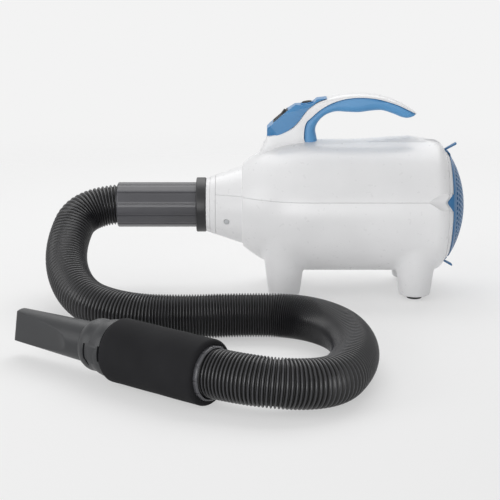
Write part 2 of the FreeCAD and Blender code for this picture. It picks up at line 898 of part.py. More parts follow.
def make_switches():
    flange = slope_block("switch_flange", "bezel_length", "bezel_width", "0", "bezel_rise")
    barrel = slope_block("switch_barrel", "well_length", "well_width", "-well_depth", "bezel_rise")
    pocket = slope_block("switch_pocket", "pocket_length", "pocket_width", "-pocket_depth", "wall")
    pin_hole = pivot_rod("switch_pin_hole", "rocker_pin + shaft_play", "well_width * 2")
    housing = joined("switch_outside", flange, barrel)
    keep(cut("power_switch_solid", housing, pocket, pin_hole), "power_switch")
    rocker = padded("rocker_form", [
        "-rocker_length / 2, rocker_pivot - rocker_rise",
        "-rocker_length / 2, rocker_pivot + rocker_rise",
        "0, rocker_pivot + rocker_dip",
        "rocker_length / 2, rocker_pivot + rocker_rise",
        "rocker_length / 2, rocker_pivot - rocker_rise",
        "rocker_depth, -rocker_depth / 2",
        "-rocker_depth, -rocker_depth / 2",
    ], "rocker_width")
    on_pivot(rocker, "-slope_angle - rocker_tilt")
    pin = pivot_rod("rocker_pivot_pin", "rocker_pin", "rocker_pin_reach")
    keep(joined("power_rocker_solid", rocker, pin), "power_rocker")


def make_dial():
    knob = turned("dial_knob", [
        "0, gap",
        "dial_radius, gap",
        "dial_radius, dial_rise - dial_edge",
        "dial_radius - dial_edge, dial_rise",
        "0, dial_rise",
    ], upright=True)
    on_dial(knob)
    keep(grouped("speed_dial_group", knob), "speed_dial")
    shaft = rod("dial_shaft_rod", "dial_shaft", "dial_shaft_depth + gap")
    on_dial(shaft, "dial_shaft_depth")
    keep(grouped("dial_shaft_group", shaft), "dial_shaft")
    pot = turned("speed_pot_form", [
        "dial_shaft + shaft_play, -pot_depth",
        "pot_radius, -pot_depth",
        "pot_radius, -pot_top",
        "dial_shaft + shaft_play, -pot_top",
    ], upright=True)
    on_dial(pot)
    keep(grouped("speed_pot_group", pot), "speed_pot")


def make_motor():
    frame = turned("motor_frame_form", [
        "frame_front, bearing_radius",
        "frame_front, bearing_boss",
        "bridge_front, bearing_boss",
        "bridge_front, frame_radius",
        "frame_rear, frame_radius",
        "frame_rear, bearing_radius",
        "bearing_rear - frame_wall, bearing_radius",
        "bearing_rear - frame_wall, bearing_boss",
        "bridge_rear, bearing_boss",
        "bridge_rear, frame_radius - frame_wall",
        "bridge_front + frame_wall, frame_radius - frame_wall",
        "bridge_front + frame_wall, bearing_radius",
    ])
    ports = []
    for turn in range(0, 360, 60):
        port = rod("frame_port_%d" % turn, "frame_port", "frame_rear * 2", "0",
                   "frame_port_place * sin(%d)" % turn, "frame_port_place * cos(%d)" % turn, ALONG_Y, "90")
        ports.append(port)
    keep(cut("motor_frame_solid", frame, *ports), "motor_frame")
    keep(grouped("stator_core_group", turned("stator_core_form", [
        "stator_front, stator_bore",
        "stator_front, stator_radius",
        "stator_front + stator_length, stator_radius",
        "stator_front + stator_length, stator_bore",
    ])), "stator_core")
    ends = []
    for name, start in (("front", "stator_front - winding_length"), ("rear", "stator_front + stator_length")):
        ends.append(turned("field_winding_" + name, [
            "%s, winding_inner" % start,
            "%s, winding_outer" % start,
            "%s + winding_length, winding_outer" % start,
            "%s + winding_length, winding_inner" % start,
        ]))
    keep(grouped("field_windings_group", *ends), "field_windings")
    bearings = []
    for name, start in (("front", "bearing_front"), ("rear", "bearing_rear")):
        bearings.append(turned("bearing_" + name, [
            "%s, shaft_radius + shaft_play" % start,
            "%s, bearing_radius" % start,
            "%s + bearing_width, bearing_radius" % start,
            "%s + bearing_width, shaft_radius + shaft_play" % start,
        ]))
    keep(grouped("shaft_bearings_group", *bearings), "shaft_bearings")
    brush_x = "stator_front + stator_length + winding_length + brush_setback"
    brushes, holders = [], []
    for name, brush_start, holder_low in (
            ("near", "-commutator_radius - gap - brush_length", "-frame_radius"),
            ("far", "commutator_radius + gap", "holder_start")):
        brushes.append(block("brush_" + name, "brush_width", "brush_length", "brush_height",
                             brush_x, brush_start, "-brush_height / 2"))
        holders.append(block("brush_holder_" + name, "brush_width + 2 * holder_wall",
                             "frame_radius - holder_start", "brush_height + 2 * holder_wall",
                             brush_x + " - holder_wall", holder_low, "-brush_height / 2 - holder_wall"))
    keep(grouped("carbon_brushes_group", *brushes), "carbon_brushes")
    slot = block("brush_slot", "brush_width", "frame_radius * 3", "brush_height",
                 brush_x, "-frame_radius * 1.5", "-brush_height / 2")
    inside = rod("motor_frame_inside", "frame_radius - frame_wall", "frame_rear", axis=ALONG_Y, angle="90")
    keep(cut("brush_holders_solid",
             common("brush_holders_round", joined("brush_holders_form", *holders), inside), slot),
         "brush_holders")

    keep(grouped("motor_shaft_group", turned("motor_shaft_form", [
        "shaft_front, 0",
        "shaft_front, shaft_radius",
        "shaft_rear, shaft_radius",
        "shaft_rear, 0",
    ])), "motor_shaft")
    keep(grouped("armature_group", turned("armature_form", [
        "stator_front, shaft_radius",
        "stator_front, armature_radius",
        "stator_front + stator_length, armature_radius",
        "stator_front + stator_length, shaft_radius",
    ])), "armature")
    ends = []
    for name, start in (("front", "stator_front - winding_length"), ("rear", "stator_front + stator_length")):
        ends.append(turned("armature_winding_" + name, [
            "%s, shaft_radius" % start,
            "%s, armature_winding" % start,
            "%s + winding_length, armature_winding" % start,
            "%s + winding_length, shaft_radius" % start,
        ]))
    keep(grouped("armature_windings_group", *ends), "armature_windings")
    keep(grouped("commutator_group", turned("commutator_form", [
        "stator_front + stator_length + winding_length, shaft_radius",
        "stator_front + stator_length + winding_length, commutator_radius",
        "stator_front + stator_length + winding_length + commutator_length, commutator_radius",
        "stator_front + stator_length + winding_length + commutator_length, shaft_radius",
    ])), "commutator")


def make_fan():
    keep(grouped("fan_shroud_group", turned("fan_shroud_form", [
        "shroud_front, shroud_radius - shroud_wall",
        "shroud_front, shroud_radius",
        "shroud_rear, shroud_radius",
        "shroud_rear, shroud_eye",
        "shroud_rear - shroud_wall, shroud_eye",
        "shroud_rear - shroud_wall, shroud_radius - shroud_wall",
    ])), "fan_shroud")
    guide = turned("air_guide_form", [
        "frame_rear, bearing_boss",
        "frame_rear, shroud_radius - shroud_wall",
        "frame_rear + guide_length, shroud_radius - shroud_wall",
        "frame_rear + guide_length, bearing_boss",
    ])
    ports = []
    for turn in range(0, 360, 30):
        ports.append(rod("guide_port_%d" % turn, "guide_port", "guide_length * 3",
                         "frame_rear - guide_length", "guide_port_place * sin(%d)" % turn,
                         "guide_port_place * cos(%d)" % turn, ALONG_Y, "90"))
    keep(cut("air_guide_solid", guide, *ports), "air_guide")
    hub = turned("impeller_hub_form", [
        "impeller_front, shaft_radius",
        "impeller_front, impeller_radius",
        "impeller_front + impeller_plate, impeller_radius",
        "impeller_front + impeller_plate, impeller_hub",
        "impeller_front + impeller_length, impeller_hub",
        "impeller_front + impeller_length, shaft_radius",
    ])
    eye = turned("impeller_eye_form", [
        "impeller_front + impeller_length - impeller_plate, shroud_eye",
        "impeller_front + impeller_length - impeller_plate, impeller_radius",
        "impeller_front + impeller_length, impeller_radius",
        "impeller_front + impeller_length, shroud_eye",
    ])
    blade = block("impeller_blade", "impeller_length - impeller_plate",
                  "impeller_radius - shroud_eye + impeller_hub / 2", "impeller_plate",
                  "impeller_front + impeller_plate / 2", "shroud_eye * 0.6", "shroud_eye / 2")
    blades = [blade] + [copy_of(blade, "impeller_blade_%d" % turn, axis=ALONG_X, angle=str(turn))
                        for turn in range(40, 360, 40)]
    keep(joined("impeller_solid", hub, eye, *blades), "impeller")


def make_mounts():
    keep(grouped("rear_mount_group", turned("rear_mount_form", [
        "mount_front, shroud_radius",
        "mount_front, barrel_radius - wall",
        "mount_front + mount_wall, barrel_radius - wall",
        "mount_front + mount_wall * 2, shroud_radius + mount_wall",
        "mount_front + mount_length - mount_wall * 2, shroud_radius + mount_wall",
        "mount_front + mount_length - mount_wall, barrel_radius - wall",
        "mount_front + mount_length, barrel_radius - wall",
        "mount_front + mount_length, shroud_radius",
    ])), "rear_motor_mount")
    keep(grouped("front_mount_group", turned("front_mount_form", [
        "frame_front, bearing_boss",
        "frame_front, carrier_bore",
        "bridge_front, carrier_bore",
        "bridge_front, bearing_boss",
    ])), "front_motor_mount")
    carrier = turned("motor_carrier_form", [
        "carrier_front, carrier_bore",
        "carrier_front, carrier_radius",
        "carrier_front + carrier_length, carrier_radius",
        "carrier_front + carrier_length, carrier_bore",
    ])
    ports = []
    for turn in range(0, 360, 60):
        ports.append(rod("carrier_port_%d" % turn, "carrier_port", "carrier_length * 3",
                         "carrier_front - carrier_length", "carrier_port_place * sin(%d)" % turn,
                         "carrier_port_place * cos(%d)" % turn, ALONG_Y, "90"))
    keep(cut("motor_carrier_solid", carrier, *ports), "motor_carrier")


def make_heater():
    keep(grouped("heater_duct_group", turned("heater_duct_form", [
        "duct_front, duct_radius - duct_wall",
        "duct_front, duct_radius",
        "duct_rear - duct_wall, duct_radius",
        "duct_rear - duct_wall, duct_flange",
        "duct_rear, duct_flange",
        "duct_rear, duct_radius - duct_wall",
    ])), "heater_duct")
    upright = block("card_upright", "card_length", "card_thickness", "card_width",
                    "duct_front + duct_wall", "-card_thickness / 2", "-card_width / 2")
    level = block("card_level", "card_length", "card_width", "card_thickness",
                  "duct_front + duct_wall", "-card_width / 2", "-card_thickness / 2")
    coils = []
    for number in range(int(size("coil_turns"))):
        ring = DOC.addObject("Part::Torus", "coil_turn_%d" % number)
        bind(ring, Radius1="coil_radius", Radius2="coil_wire / 2")
        place(ring, "duct_front + coil_pitch * %d" % (number + 1), "0", "0", ALONG_Y, "90")
        coils.append(ring)
    keep(cut("heater_cards_solid", joined("heater_cards_form", upright, level), *coils), "heater_cards")
    keep(grouped("heater_coil_group", *coils), "heater_coil")
    cutout = block("thermal_cutout_form", "cutout_length", "cutout_width", "cutout_height",
                   "duct_front + coil_pitch", "-cutout_width / 2", "duct_radius")
    keep(grouped("thermal_cutout_group", cutout), "thermal_cutout")


def make_electrics():
    board = block("board_plate", "board_length", "board_width", "board_thickness",
                  "board_x", "-board_width / 2", "board_level")
    keep(grouped("control_board_group", board), "control_board")
    sink = block("heat_sink_form", "board_length / 3", "board_width / 2", "board_thickness * 4",
                 "board_x + board_length / 3", "-board_width / 4", "board_level + board_thickness")
    keep(grouped("heat_sink_group", sink), "heat_sink")
    keep(grouped("sound_liner_group", turned("sound_liner_form", [
        "liner_front, barrel_radius - wall - gap - liner_thickness",
        "liner_front, barrel_radius - wall - gap",
        "liner_front + liner_length, barrel_radius - wall - gap",
        "liner_front + liner_length, barrel_radius - wall - gap - liner_thickness",
    ], "120")), "sound_liner")
    place(DOC.getObject("sound_liner_form"), axis=ALONG_X, angle="210")
    gland = joined("cord_gland_form",
                   gland_rod("gland_body", "gland_radius", "barrel_radius - 2 * wall", "gland_reach"),
                   gland_rod("gland_collar", "gland_nut", "barrel_radius + gap", "barrel_radius + 2 * wall"))
    bore = gland_rod("gland_bore_rod", "gland_bore", "barrel_radius / 2", "gland_reach * 2")
    keep(cut("cord_gland_solid", gland, bore), "cord_gland")


def make_intake():
    # Both faces of the dome are parts of a ball whose centre lies on the axis.
    rise, foot = "(cover_rise - cover_edge)", "cover_radius"
    inner_rise, inner_foot = "(cover_rise - cover_wall - gap * 2)", "(cover_spigot - cover_wall)"
    outer_arc = "(%s^2 + %s^2) / (2 * %s)" % (foot, rise, rise)
    inner_arc = "(%s^2 + %s^2) / (2 * %s)" % (inner_foot, inner_rise, inner_rise)
    dome = turned("cover_dome", [
        "shell_length + gap, cover_spigot - cover_wall",
        "shell_length - cover_spigot_length, cover_spigot - cover_wall",
        "shell_length - cover_spigot_length, cover_spigot",
        "shell_length + gap, cover_spigot",
        "shell_length + gap, cover_radius",
        "shell_length + cover_edge, cover_radius, -(%s)" % outer_arc,
        "shell_length + cover_rise, 0",
        "shell_length + cover_rise - cover_wall, 0, %s" % inner_arc,
        "shell_length + gap * 2, cover_spigot - cover_wall",
    ])
    blade = padded("cover_tab_side", [
        "shell_length + gap, cover_radius - cover_edge",
        "shell_length + gap, cover_radius + 3 * gap",
        "tab_heel_x + gap, tab_heel_radius",
        "tab_heel_x, tab_heel_radius + tab_heel",
        "tab_tip_x - gap, tab_tip_radius + tab_tip_half",
        "tab_tip_x, tab_tip_radius - tab_tip_half",
        "tab_crotch_x, tab_crotch_radius",
        "shell_length + cover_edge, cover_radius + gap",
        "shell_length + cover_edge, cover_radius - cover_edge",
    ], "tab_tip_half_width * 2")
    plan = padded("cover_tab_plan", [
        "tab_heel_x - gap, -tab_root_half",
        "tab_tip_x + gap, -tab_tip_half_width",
        "tab_tip_x + gap, tab_tip_half_width",
        "tab_heel_x - gap, tab_root_half",
    ], "barrel_radius * 2", "XY_Plane")
    tab = common("cover_tab", blade, plan)
    flare = common("cover_flare", padded("cover_flare_side", [
        "flare_x, flare_floor",
        "flare_x, flare_level",
        "shell_length + gap, cover_radius + wall",
        "shell_length + cover_edge * 0.8, cover_radius + cover_edge",
        "shell_length + cover_edge * 0.8, cover_spigot + wall",
        "shell_length + gap, cover_spigot + wall",
        "shell_length + gap, cover_radius + gap",
        "flare_elbow_x, flare_floor",
    ], "flare_half * 2"), padded("cover_flare_plan", [
        "flare_x - gap, -flare_root_half",
        "shell_length, -flare_half",
        "shell_length + wall, -flare_half",
        "shell_length + wall, flare_half",
        "shell_length, flare_half",
        "flare_x - gap, flare_root_half",
    ], "barrel_radius * 2", "XY_Plane"))
    keep(joined("filter_cover_solid", dome, tab, copy_of(tab, "cover_low_tab", axis=ALONG_X, angle="180"),
                *four_ways("cover_flare", flare)), "filter_cover")
    grid = turned("filter_grid_form", [
        "grid_front, 0",
        "grid_front, grid_radius",
        "grid_front + grid_length, grid_radius",
        "grid_front + grid_length, 0",
    ])
    ports = []
    for turn in UPPER_BOSSES + LOWER_BOSSES:
        ports.append(rod("grid_screw_hole_%d" % (turn % 360), "screw_hole", "grid_length * 3",
                         "grid_front - grid_length", "boss_place * sin(%d)" % turn,
                         "boss_place * cos(%d)" % turn, ALONG_Y, "90"))
    for turn in range(0, 360, 60):
        ports.append(rod("grid_port_%d" % turn, "grid_port", "grid_length * 3",
                         "grid_front - grid_length", "grid_port_place * sin(%d)" % turn,
                         "grid_port_place * cos(%d)" % turn, ALONG_Y, "90"))
    keep(cut("filter_grid_solid", grid, *ports), "filter_grid")
    keep(grouped("intake_filter_group", turned("intake_filter_form", [
        "grid_front + grid_length, 0",
        "grid_front + grid_length, filter_radius",
        "grid_front + grid_length + filter_length, filter_radius",
        "grid_front + grid_length + filter_length, 0",
    ])), "intake_filter")


def make_outlet():
    ring = turned("outlet_ring_form", [
        "0, ring_bore",
        "0, ring_front_radius - ring_line_depth",
        "ring_line_depth, ring_front_radius",
        "ring_line - ring_line_depth, ring_front_radius + ring_line_depth * 2",
        "ring_line, ring_front_radius + ring_line_depth",
        "ring_line + ring_line_depth, ring_front_radius + ring_line_depth * 3",
        "nose_start - gap, nose_radius",
        "nose_start - gap, ring_spigot",
        "ring_rear, ring_spigot",
        "ring_rear, ring_tail_bore",
        "lock_end, ring_tail_bore",
        "lock_end, lock_radius",
        "lock_start, lock_radius",
        "lock_start, ring_bore",
    ])
    slots = [ring_sector("lug_slot_%d" % turn, "-gap", "lock_start + gap", "ring_bore - gap", "lock_radius",
                         "lug_slot_angle", turn) for turn in (60, 180, 300)]
    screw_bore = rod("nose_screw_bore", "screw_radius", "nose_radius * 2", "nose_screw_x", "nose_radius",
                     "-nose_screw_drop", ALONG_X, "90")
    keep(cut("outlet_ring_solid", ring, *slots, screw_bore), "outlet_ring")
    keep(grouped("outlet_seal_group", turned("outlet_seal_form", [
        "lock_end + wall, cuff_tail",
        "lock_end + wall, ring_tail_bore",
        "lock_end + wall * 2, ring_tail_bore",
        "lock_end + wall * 2, cuff_tail",
    ])), "outlet_seal")
    collar = turned("hose_collar_form", [
        "-collar_length, collar_bore",
        "-collar_length, collar_radius - 2 * ring_line_depth",
        "collar_edge - collar_length, collar_radius",
        "-collar_edge, collar_radius",
        "-gap, collar_radius - 2 * ring_line_depth",
        "-gap, collar_tail",
        "lock_end - gap * 2, collar_tail",
        "lock_end - gap * 2, collar_bore",
    ])
    lugs = [ring_sector("collar_lug_%d" % turn, "lock_start + gap", "lock_end - gap * 2", "collar_bore + gap",
                        "lug_radius", "lug_angle", turn) for turn in (0, 120, 240)]
    keep(joined("hose_collar_solid", collar, *lugs), "hose_collar")
    cuff = turned("hose_cuff_form", [
        "-cuff_length, socket_radius",
        "-cuff_length, cuff_radius - cuff_edge",
        "cuff_edge - cuff_length, cuff_radius",
        "-collar_length - gap, cuff_radius",
        "-collar_length - gap, cuff_tail",
        "cuff_tail_rear, cuff_tail",
        "cuff_tail_rear, cuff_bore",
        "socket_depth - cuff_length, cuff_bore",
        "socket_depth - cuff_length, socket_radius",
    ])
    flute = block("cuff_flute", "cuff_length", "flute_width", "flute_depth * 2",
                  "-cuff_length - collar_length", "-flute_width / 2", "cuff_radius - flute_depth")
    flutes = [flute] + [copy_of(flute, "cuff_flute_%d" % number, axis=ALONG_X,
                                angle="%d * 360 / cuff_flutes" % number)
                        for number in range(1, int(size("cuff_flutes")))]
    keep(cut("hose_cuff_solid", cuff, *flutes), "hose_cuff")


def ring_sector(name, start, end, inner, outer, angle, turn):
    """A piece of a ring around the X axis, centred on a turn from the top."""
    sector = turned(name, [
        "%s, %s" % (start, inner),
        "%s, %s" % (start, outer),
        "%s, %s" % (end, outer),
        "%s, %s" % (end, inner),
    ], angle)
    return place(sector, axis=ALONG_X, angle="%d + 90 - (%s) / 2" % (turn, angle))


def make_handpiece():
    keep(grouped("grip_sleeve_group", turned("grip_sleeve_form", [
        "-sleeve_edge / 2, sleeve_bore",
        "-sleeve_edge / 2, sleeve_radius - sleeve_edge",
        "sleeve_edge / 2, sleeve_radius",
        "sleeve_length - sleeve_edge / 2, sleeve_radius",
        "sleeve_length + sleeve_edge / 2, sleeve_radius - sleeve_edge",
        "sleeve_length + sleeve_edge / 2, sleeve_bore",
    ])), "grip_sleeve", "wand")
    keep(grouped("wand_cuff_group", turned("wand_cuff_form", [
        "-wand_cuff_front, socket_radius",
        "-wand_cuff_front, cuff_radius - cuff_edge",
        "cuff_edge - wand_cuff_front, cuff_radius",
        "wand_wall_x, cuff_radius",
        "wand_wall_x, wand_bore",
        "wand_socket, wand_bore",
        "wand_socket, socket_radius",
    ])), "wand_cuff", "wand")
    keep(grouped("wand_tube_group", turned("wand_tube_form", [
        "wand_wall_x, wand_bore",
        "wand_wall_x, cuff_radius",
        "coupling_x, cuff_radius",
        "coupling_x, wand_bore",
    ])), "wand_tube", "wand")
    coupling = turned("nozzle_coupling_form", [
        "coupling_start, coupling_tail_bore",
        "coupling_start, coupling_tail",
        "coupling_x, coupling_tail",
        "coupling_x, coupling_radius",
        "coupling_waist_x, coupling_waist",
        "coupling_lip_x, coupling_lip",
        "coupling_end, coupling_mouth",
        "coupling_end, coupling_bore",
        "pin_track_end, coupling_bore",
        "pin_track_end, pin_track_radius",
        "pin_track_start, pin_track_radius",
        "pin_track_start, coupling_bore",
        "coupling_seat, coupling_bore",
        "coupling_seat, coupling_tail_bore",
    ])
    window = block("coupling_window", "window_width", "coupling_radius", "window_height",
                   "window_x", "pin_track_radius - wall", "window_low")
    keep(cut("nozzle_coupling_solid", coupling, window), "nozzle_coupling", "wand")

    outside = turned("nozzle_outside", [
        "coupling_seat + gap, 0",
        "coupling_seat + gap, nozzle_spigot",
        "seal_x, nozzle_spigot",
        "seal_x, nozzle_spigot - seal_depth",
        "seal_x + seal_length, nozzle_spigot - seal_depth",
        "seal_x + seal_length, nozzle_spigot",
        "coupling_end, nozzle_spigot",
        "nozzle_end, nozzle_tip_radius",
        "nozzle_end, 0",
    ])
    inside = turned("nozzle_inside", [
        "coupling_seat, 0",
        "coupling_seat, nozzle_spigot - nozzle_wall",
        "coupling_end, nozzle_spigot - nozzle_wall",
        "nozzle_end + nozzle_wall, nozzle_tip_radius - nozzle_wall",
        "nozzle_end + nozzle_wall, 0",
    ])
    flats, hollows = [], []
    for name, sign in (("near", ""), ("far", "-")):
        flats.append(padded("nozzle_flat_" + name, [
            "flat_x, %s(nozzle_spigot)" % sign,
            "nozzle_end + nozzle_wall, %s(mouth_half)" % sign,
            "nozzle_end + nozzle_wall, %s(nozzle_spigot * 2)" % sign,
            "flat_x, %s(nozzle_spigot * 2)" % sign,
        ], "nozzle_spigot * 4", "XY_Plane"))
        hollows.append(padded("nozzle_hollow_flat_" + name, [
            "flat_x, %s(nozzle_spigot - nozzle_wall)" % sign,
            "nozzle_end + nozzle_wall, %s(mouth_half - nozzle_wall)" % sign,
            "nozzle_end + nozzle_wall * 2, %s(nozzle_spigot * 2)" % sign,
            "flat_x, %s(nozzle_spigot * 2)" % sign,
        ], "nozzle_spigot * 4", "XY_Plane"))
    pins = [rod("nozzle_pin_" + name, "pin_radius", "pin_reach", "pin_x", "0", "0", ALONG_X, turn)
            for name, turn in (("near", "-90"), ("far", "90"))]
    walls = joined("nozzle_with_pins", cut("nozzle_form", outside, *flats), *pins)
    keep(cut("flat_nozzle_solid", walls, cut("nozzle_hollow", inside, *hollows)), "flat_nozzle", "wand")
    keep(grouped("nozzle_seal_group", turned("nozzle_seal_form", [
        "seal_x, nozzle_spigot - seal_depth",
        "seal_x, coupling_bore - gap / 2",
        "seal_x + seal_length, coupling_bore - gap / 2",
        "seal_x + seal_length, nozzle_spigot - seal_depth",
    ])), "nozzle_seal", "wand")


# The free hose as it lies: out of the dryer's cuff, forward and down to the table, a long run
# in front of the dryer, and a half circle back into the handpiece. Millimetres on the table.
HOSE_MIDDLE = [
    (-216, 190, 112.5),
    (-243, 123, 65),
    (-215, 32, 32),
    (-154, -20, 26),
    (-82, -26, 26),
    (-10, -17, 26),
    (53, -22, 26),
    (95, -66, 26),
    (110, -129, 26),
    (105, -194, 26),
    (77, -262, 26),
]
RUN_SHARE = 0.45
# Where each rib's groove starts and ends and its crest starts and ends, as shares of the pitch.
RIB_CORNERS = (0, 0.3, 0.45, 0.85)


def hose_corners():
    """The route's corners, with its two ends in the sockets of the cuffs, square to them."""
    start = V(size("dryer_x - cuff_length + socket_depth"), size("dryer_y"), size("axis_height"))
    wand = FreeCAD.Rotation(UPWARD, size("wand_turn")).multVec(ALONG_X)
    sleeve_end = V(size("wand_x"), size("wand_y"), size("sleeve_radius"))
    lead = sleeve_end - wand * size("hose_lead")
    return [start] + [V(*point) for point in HOSE_MIDDLE] + [lead, sleeve_end + wand * size("wand_socket")]


def route_wire(corners):
    """Straight runs joined by tangent arcs, each as large as its two runs allow."""
    edges, here = [], corners[0]
    for before, corner, after in zip(corners, corners[1:], corners[2:]):
        back, on = before - corner, after - corner
        tangent = RUN_SHARE * min(back.Length, on.Length)
        turn = math.pi - back.getAngle(on)
        print("hose turns %.0f degrees on a radius of %.0f mm"
              % (math.degrees(turn), tangent / math.tan(turn / 2)))
        back.normalize()
        on.normalize()
        first, last = corner + back * tangent, corner + on * tangent
        inward = (back + on).normalize()
        radius = tangent / math.tan(turn / 2)
        middle = corner + inward * (radius / math.cos(turn / 2) - radius)
        edges.append(Part.LineSegment(here, first).toShape())
        edges.append(Part.Arc(first, middle, last).toShape())
        here = last
    edges.append(Part.LineSegment(here, corners[-1]).toShape())
    return Part.Wire(edges)


def ring_at(wire, distance, radius):
    """A circle square to the route, its own X axis kept level."""
    for edge in wire.OrderedEdges:
        if distance <= edge.Length + 1e-6:
            break
        distance -= edge.Length
    share = edge.FirstParameter + (edge.LastParameter - edge.FirstParameter) * min(distance / edge.Length, 1)
    along = edge.tangentAt(share)
    level = UPWARD.cross(along).normalize()
    ring = Part.Circle(edge.valueAt(share), along, radius)
    ring.XAxis = level
    return Part.Wire(ring.toShape())


def make_hose():
    wire = route_wire(hose_corners())
    length = wire.Length
    ribs = int(size("hose_ribs"))
    pitch = length / ribs
    root, crest = size("hose_root"), size("hose_radius")
    rings = []
    for rib in range(ribs):
        for share, radius in zip(RIB_CORNERS, (root, root, crest, crest)):
            rings.append(ring_at(wire, (rib + share) * pitch, radius))
    rings.append(ring_at(wire, length, root))
    # Taken from the far end, the loft keeps its skin outwards.
    ribbed = Part.makeLoft(rings[::-1], True, True)
    bore = wire.makePipeShell([ring_at(wire, 0, size("hose_bore"))], True, False)
    hose = ribbed.cut(bore).Solids[0]
    print("hose %.0f mm long, ribs %.2f mm apart, bore volume %.4f of its length"
          % (length, pitch, bore.Volume / (math.pi * size("hose_bore") ** 2 * length)))
    feature = DOC.addObject("Part::Feature", "air_hose_solid")
    feature.Shape = hose
    feature.Label = "air_hose"
    NODES["air_hose"] = feature


def finish():
    DOC.recompute()
    for thing in DOC.Objects:
        bad = [state for state in thing.State if state in ("Invalid", "Error")]
        if bad:
            raise SystemExit("%s (%s) is %s" % (thing.Name, thing.Label, bad))
    os.makedirs("parts", exist_ok=True)
    for name, thing in NODES.items():
        shape = thing.Shape
        if shape.isNull() or not shape.isValid():
            raise SystemExit("%s has no valid shape" % name)
        shape.exportStep("parts/%s.step" % name)
    print("%d pieces written" % len(NODES))


fill_sheet()
make_shells()
make_feet()
make_fasteners()
make_handle()
make_switches()
make_dial()
make_motor()
make_fan()
make_mounts()
make_heater()
make_electrics()
make_intake()
make_outlet()
make_handpiece()
make_hose()
finish()
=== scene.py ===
import bmesh
import bpy
import json
from math import atan2, copysign, cos, exp, hypot, pi, radians, sin, sqrt, tau
from mathutils import Matrix, Vector, noise


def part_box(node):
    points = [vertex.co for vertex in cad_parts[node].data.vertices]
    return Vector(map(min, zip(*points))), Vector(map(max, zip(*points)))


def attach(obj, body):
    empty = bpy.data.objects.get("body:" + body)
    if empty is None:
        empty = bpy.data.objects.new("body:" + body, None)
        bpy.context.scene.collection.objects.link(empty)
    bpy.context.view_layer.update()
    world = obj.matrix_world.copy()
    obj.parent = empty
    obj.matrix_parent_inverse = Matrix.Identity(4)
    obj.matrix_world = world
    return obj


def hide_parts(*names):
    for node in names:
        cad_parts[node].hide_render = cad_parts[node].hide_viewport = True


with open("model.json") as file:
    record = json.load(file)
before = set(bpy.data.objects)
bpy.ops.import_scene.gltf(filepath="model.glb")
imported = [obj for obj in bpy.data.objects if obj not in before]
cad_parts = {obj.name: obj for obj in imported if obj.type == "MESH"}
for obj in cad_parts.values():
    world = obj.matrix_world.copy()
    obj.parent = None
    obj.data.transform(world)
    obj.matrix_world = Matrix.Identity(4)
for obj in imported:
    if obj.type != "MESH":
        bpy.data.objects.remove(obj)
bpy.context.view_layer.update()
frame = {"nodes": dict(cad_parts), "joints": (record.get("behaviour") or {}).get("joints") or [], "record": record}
JOINTS = {joint["name"]: joint for joint in frame["joints"]}

# The dryer's pieces are modelled in millimetres along its barrel, from the nose's front face,
# and the handpiece's along its own axis, from the end of the foam sleeve where the hose enters.
MM = 0.001
SMALL = Matrix.Diagonal((MM, MM, MM, 1))
BARREL_AXIS = Vector(JOINTS["collar_turn"]["pos_m"])
DRYER = Matrix.Translation((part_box("outlet_ring")[0].x, BARREL_AXIS.y, BARREL_AXIS.z)) @ SMALL
WAND_AXIS = JOINTS["nozzle_turn"]["axis"]
WAND_TURN = atan2(WAND_AXIS[1], WAND_AXIS[0])
WAND = (Matrix.Translation(JOINTS["nozzle_turn"]["pos_m"])
        @ Matrix.Rotation(WAND_TURN, 4, "Z") @ SMALL)


# The photograph's view: the camera's place in metres, the degrees that it looks down, lens and film in mm.
CAMERA_PLACE, CAMERA_DIP = (-0.00565, -1.61, 0.5115), 14.34
LENS_MM, FILM_MM = 102.06, 36


def sight():
    """A long lens, level across, a little above the barrel."""
    lens = bpy.data.cameras.new("sight")
    lens.lens = LENS_MM
    lens.sensor_width = FILM_MM
    camera = bpy.data.objects.new("sight", lens)
    camera.location = CAMERA_PLACE
    camera.rotation_euler = (radians(90 - CAMERA_DIP), 0, 0)
    bpy.context.scene.collection.objects.link(camera)
    bpy.context.scene.camera = camera


def linear(code):
    """An sRGB hex colour as the linear RGBA that a shader socket takes."""
    channels = [int(code[at:at + 2], 16) / 255 for at in (1, 3, 5)]
    return [c / 12.92 if c <= 0.04045 else ((c + 0.055) / 1.055) ** 2.4 for c in channels] + [1]


def add(material, kind, inputs=None, **settings):
    """One shader node: a socket among its inputs is linked, and a plain value is set."""
    node = material.node_tree.nodes.new(kind)
    for name, value in settings.items():
        setattr(node, name, value)
    for name, value in (inputs or {}).items():
        if isinstance(value, bpy.types.NodeSocket):
            material.node_tree.links.new(value, node.inputs[name])
        else:
            node.inputs[name].default_value = value
    return node


def blank(name):
    """A material with an empty node tree."""
    material = bpy.data.materials.new(name)
    material.use_nodes = True
    material.node_tree.nodes.clear()
    return material


def shown(material, shader):
    """The material, with a shader on its surface."""
    add(material, "ShaderNodeOutputMaterial", {"Surface": shader})
    return material


def ramp(material, factor, stops):
    """A colour ramp from (place, hex colour) pairs."""
    node = add(material, "ShaderNodeValToRGB", {"Fac": factor})
    elements = node.color_ramp.elements
    while len(elements) < len(stops):
        elements.new(0.5)
    for element, (place, shade) in zip(elements, stops):
        element.position = place
        element.color = linear(shade)
    return node.outputs["Color"]


def speckled(material, where, size_mm, detail):
    """Noise whose features have a size in millimetres."""
    noise_inputs = {"Vector": where, "Scale": 1 / (size_mm * MM), "Detail": detail}
    return add(material, "ShaderNodeTexNoise", noise_inputs).outputs["Fac"]


CLOUD_MM = 45


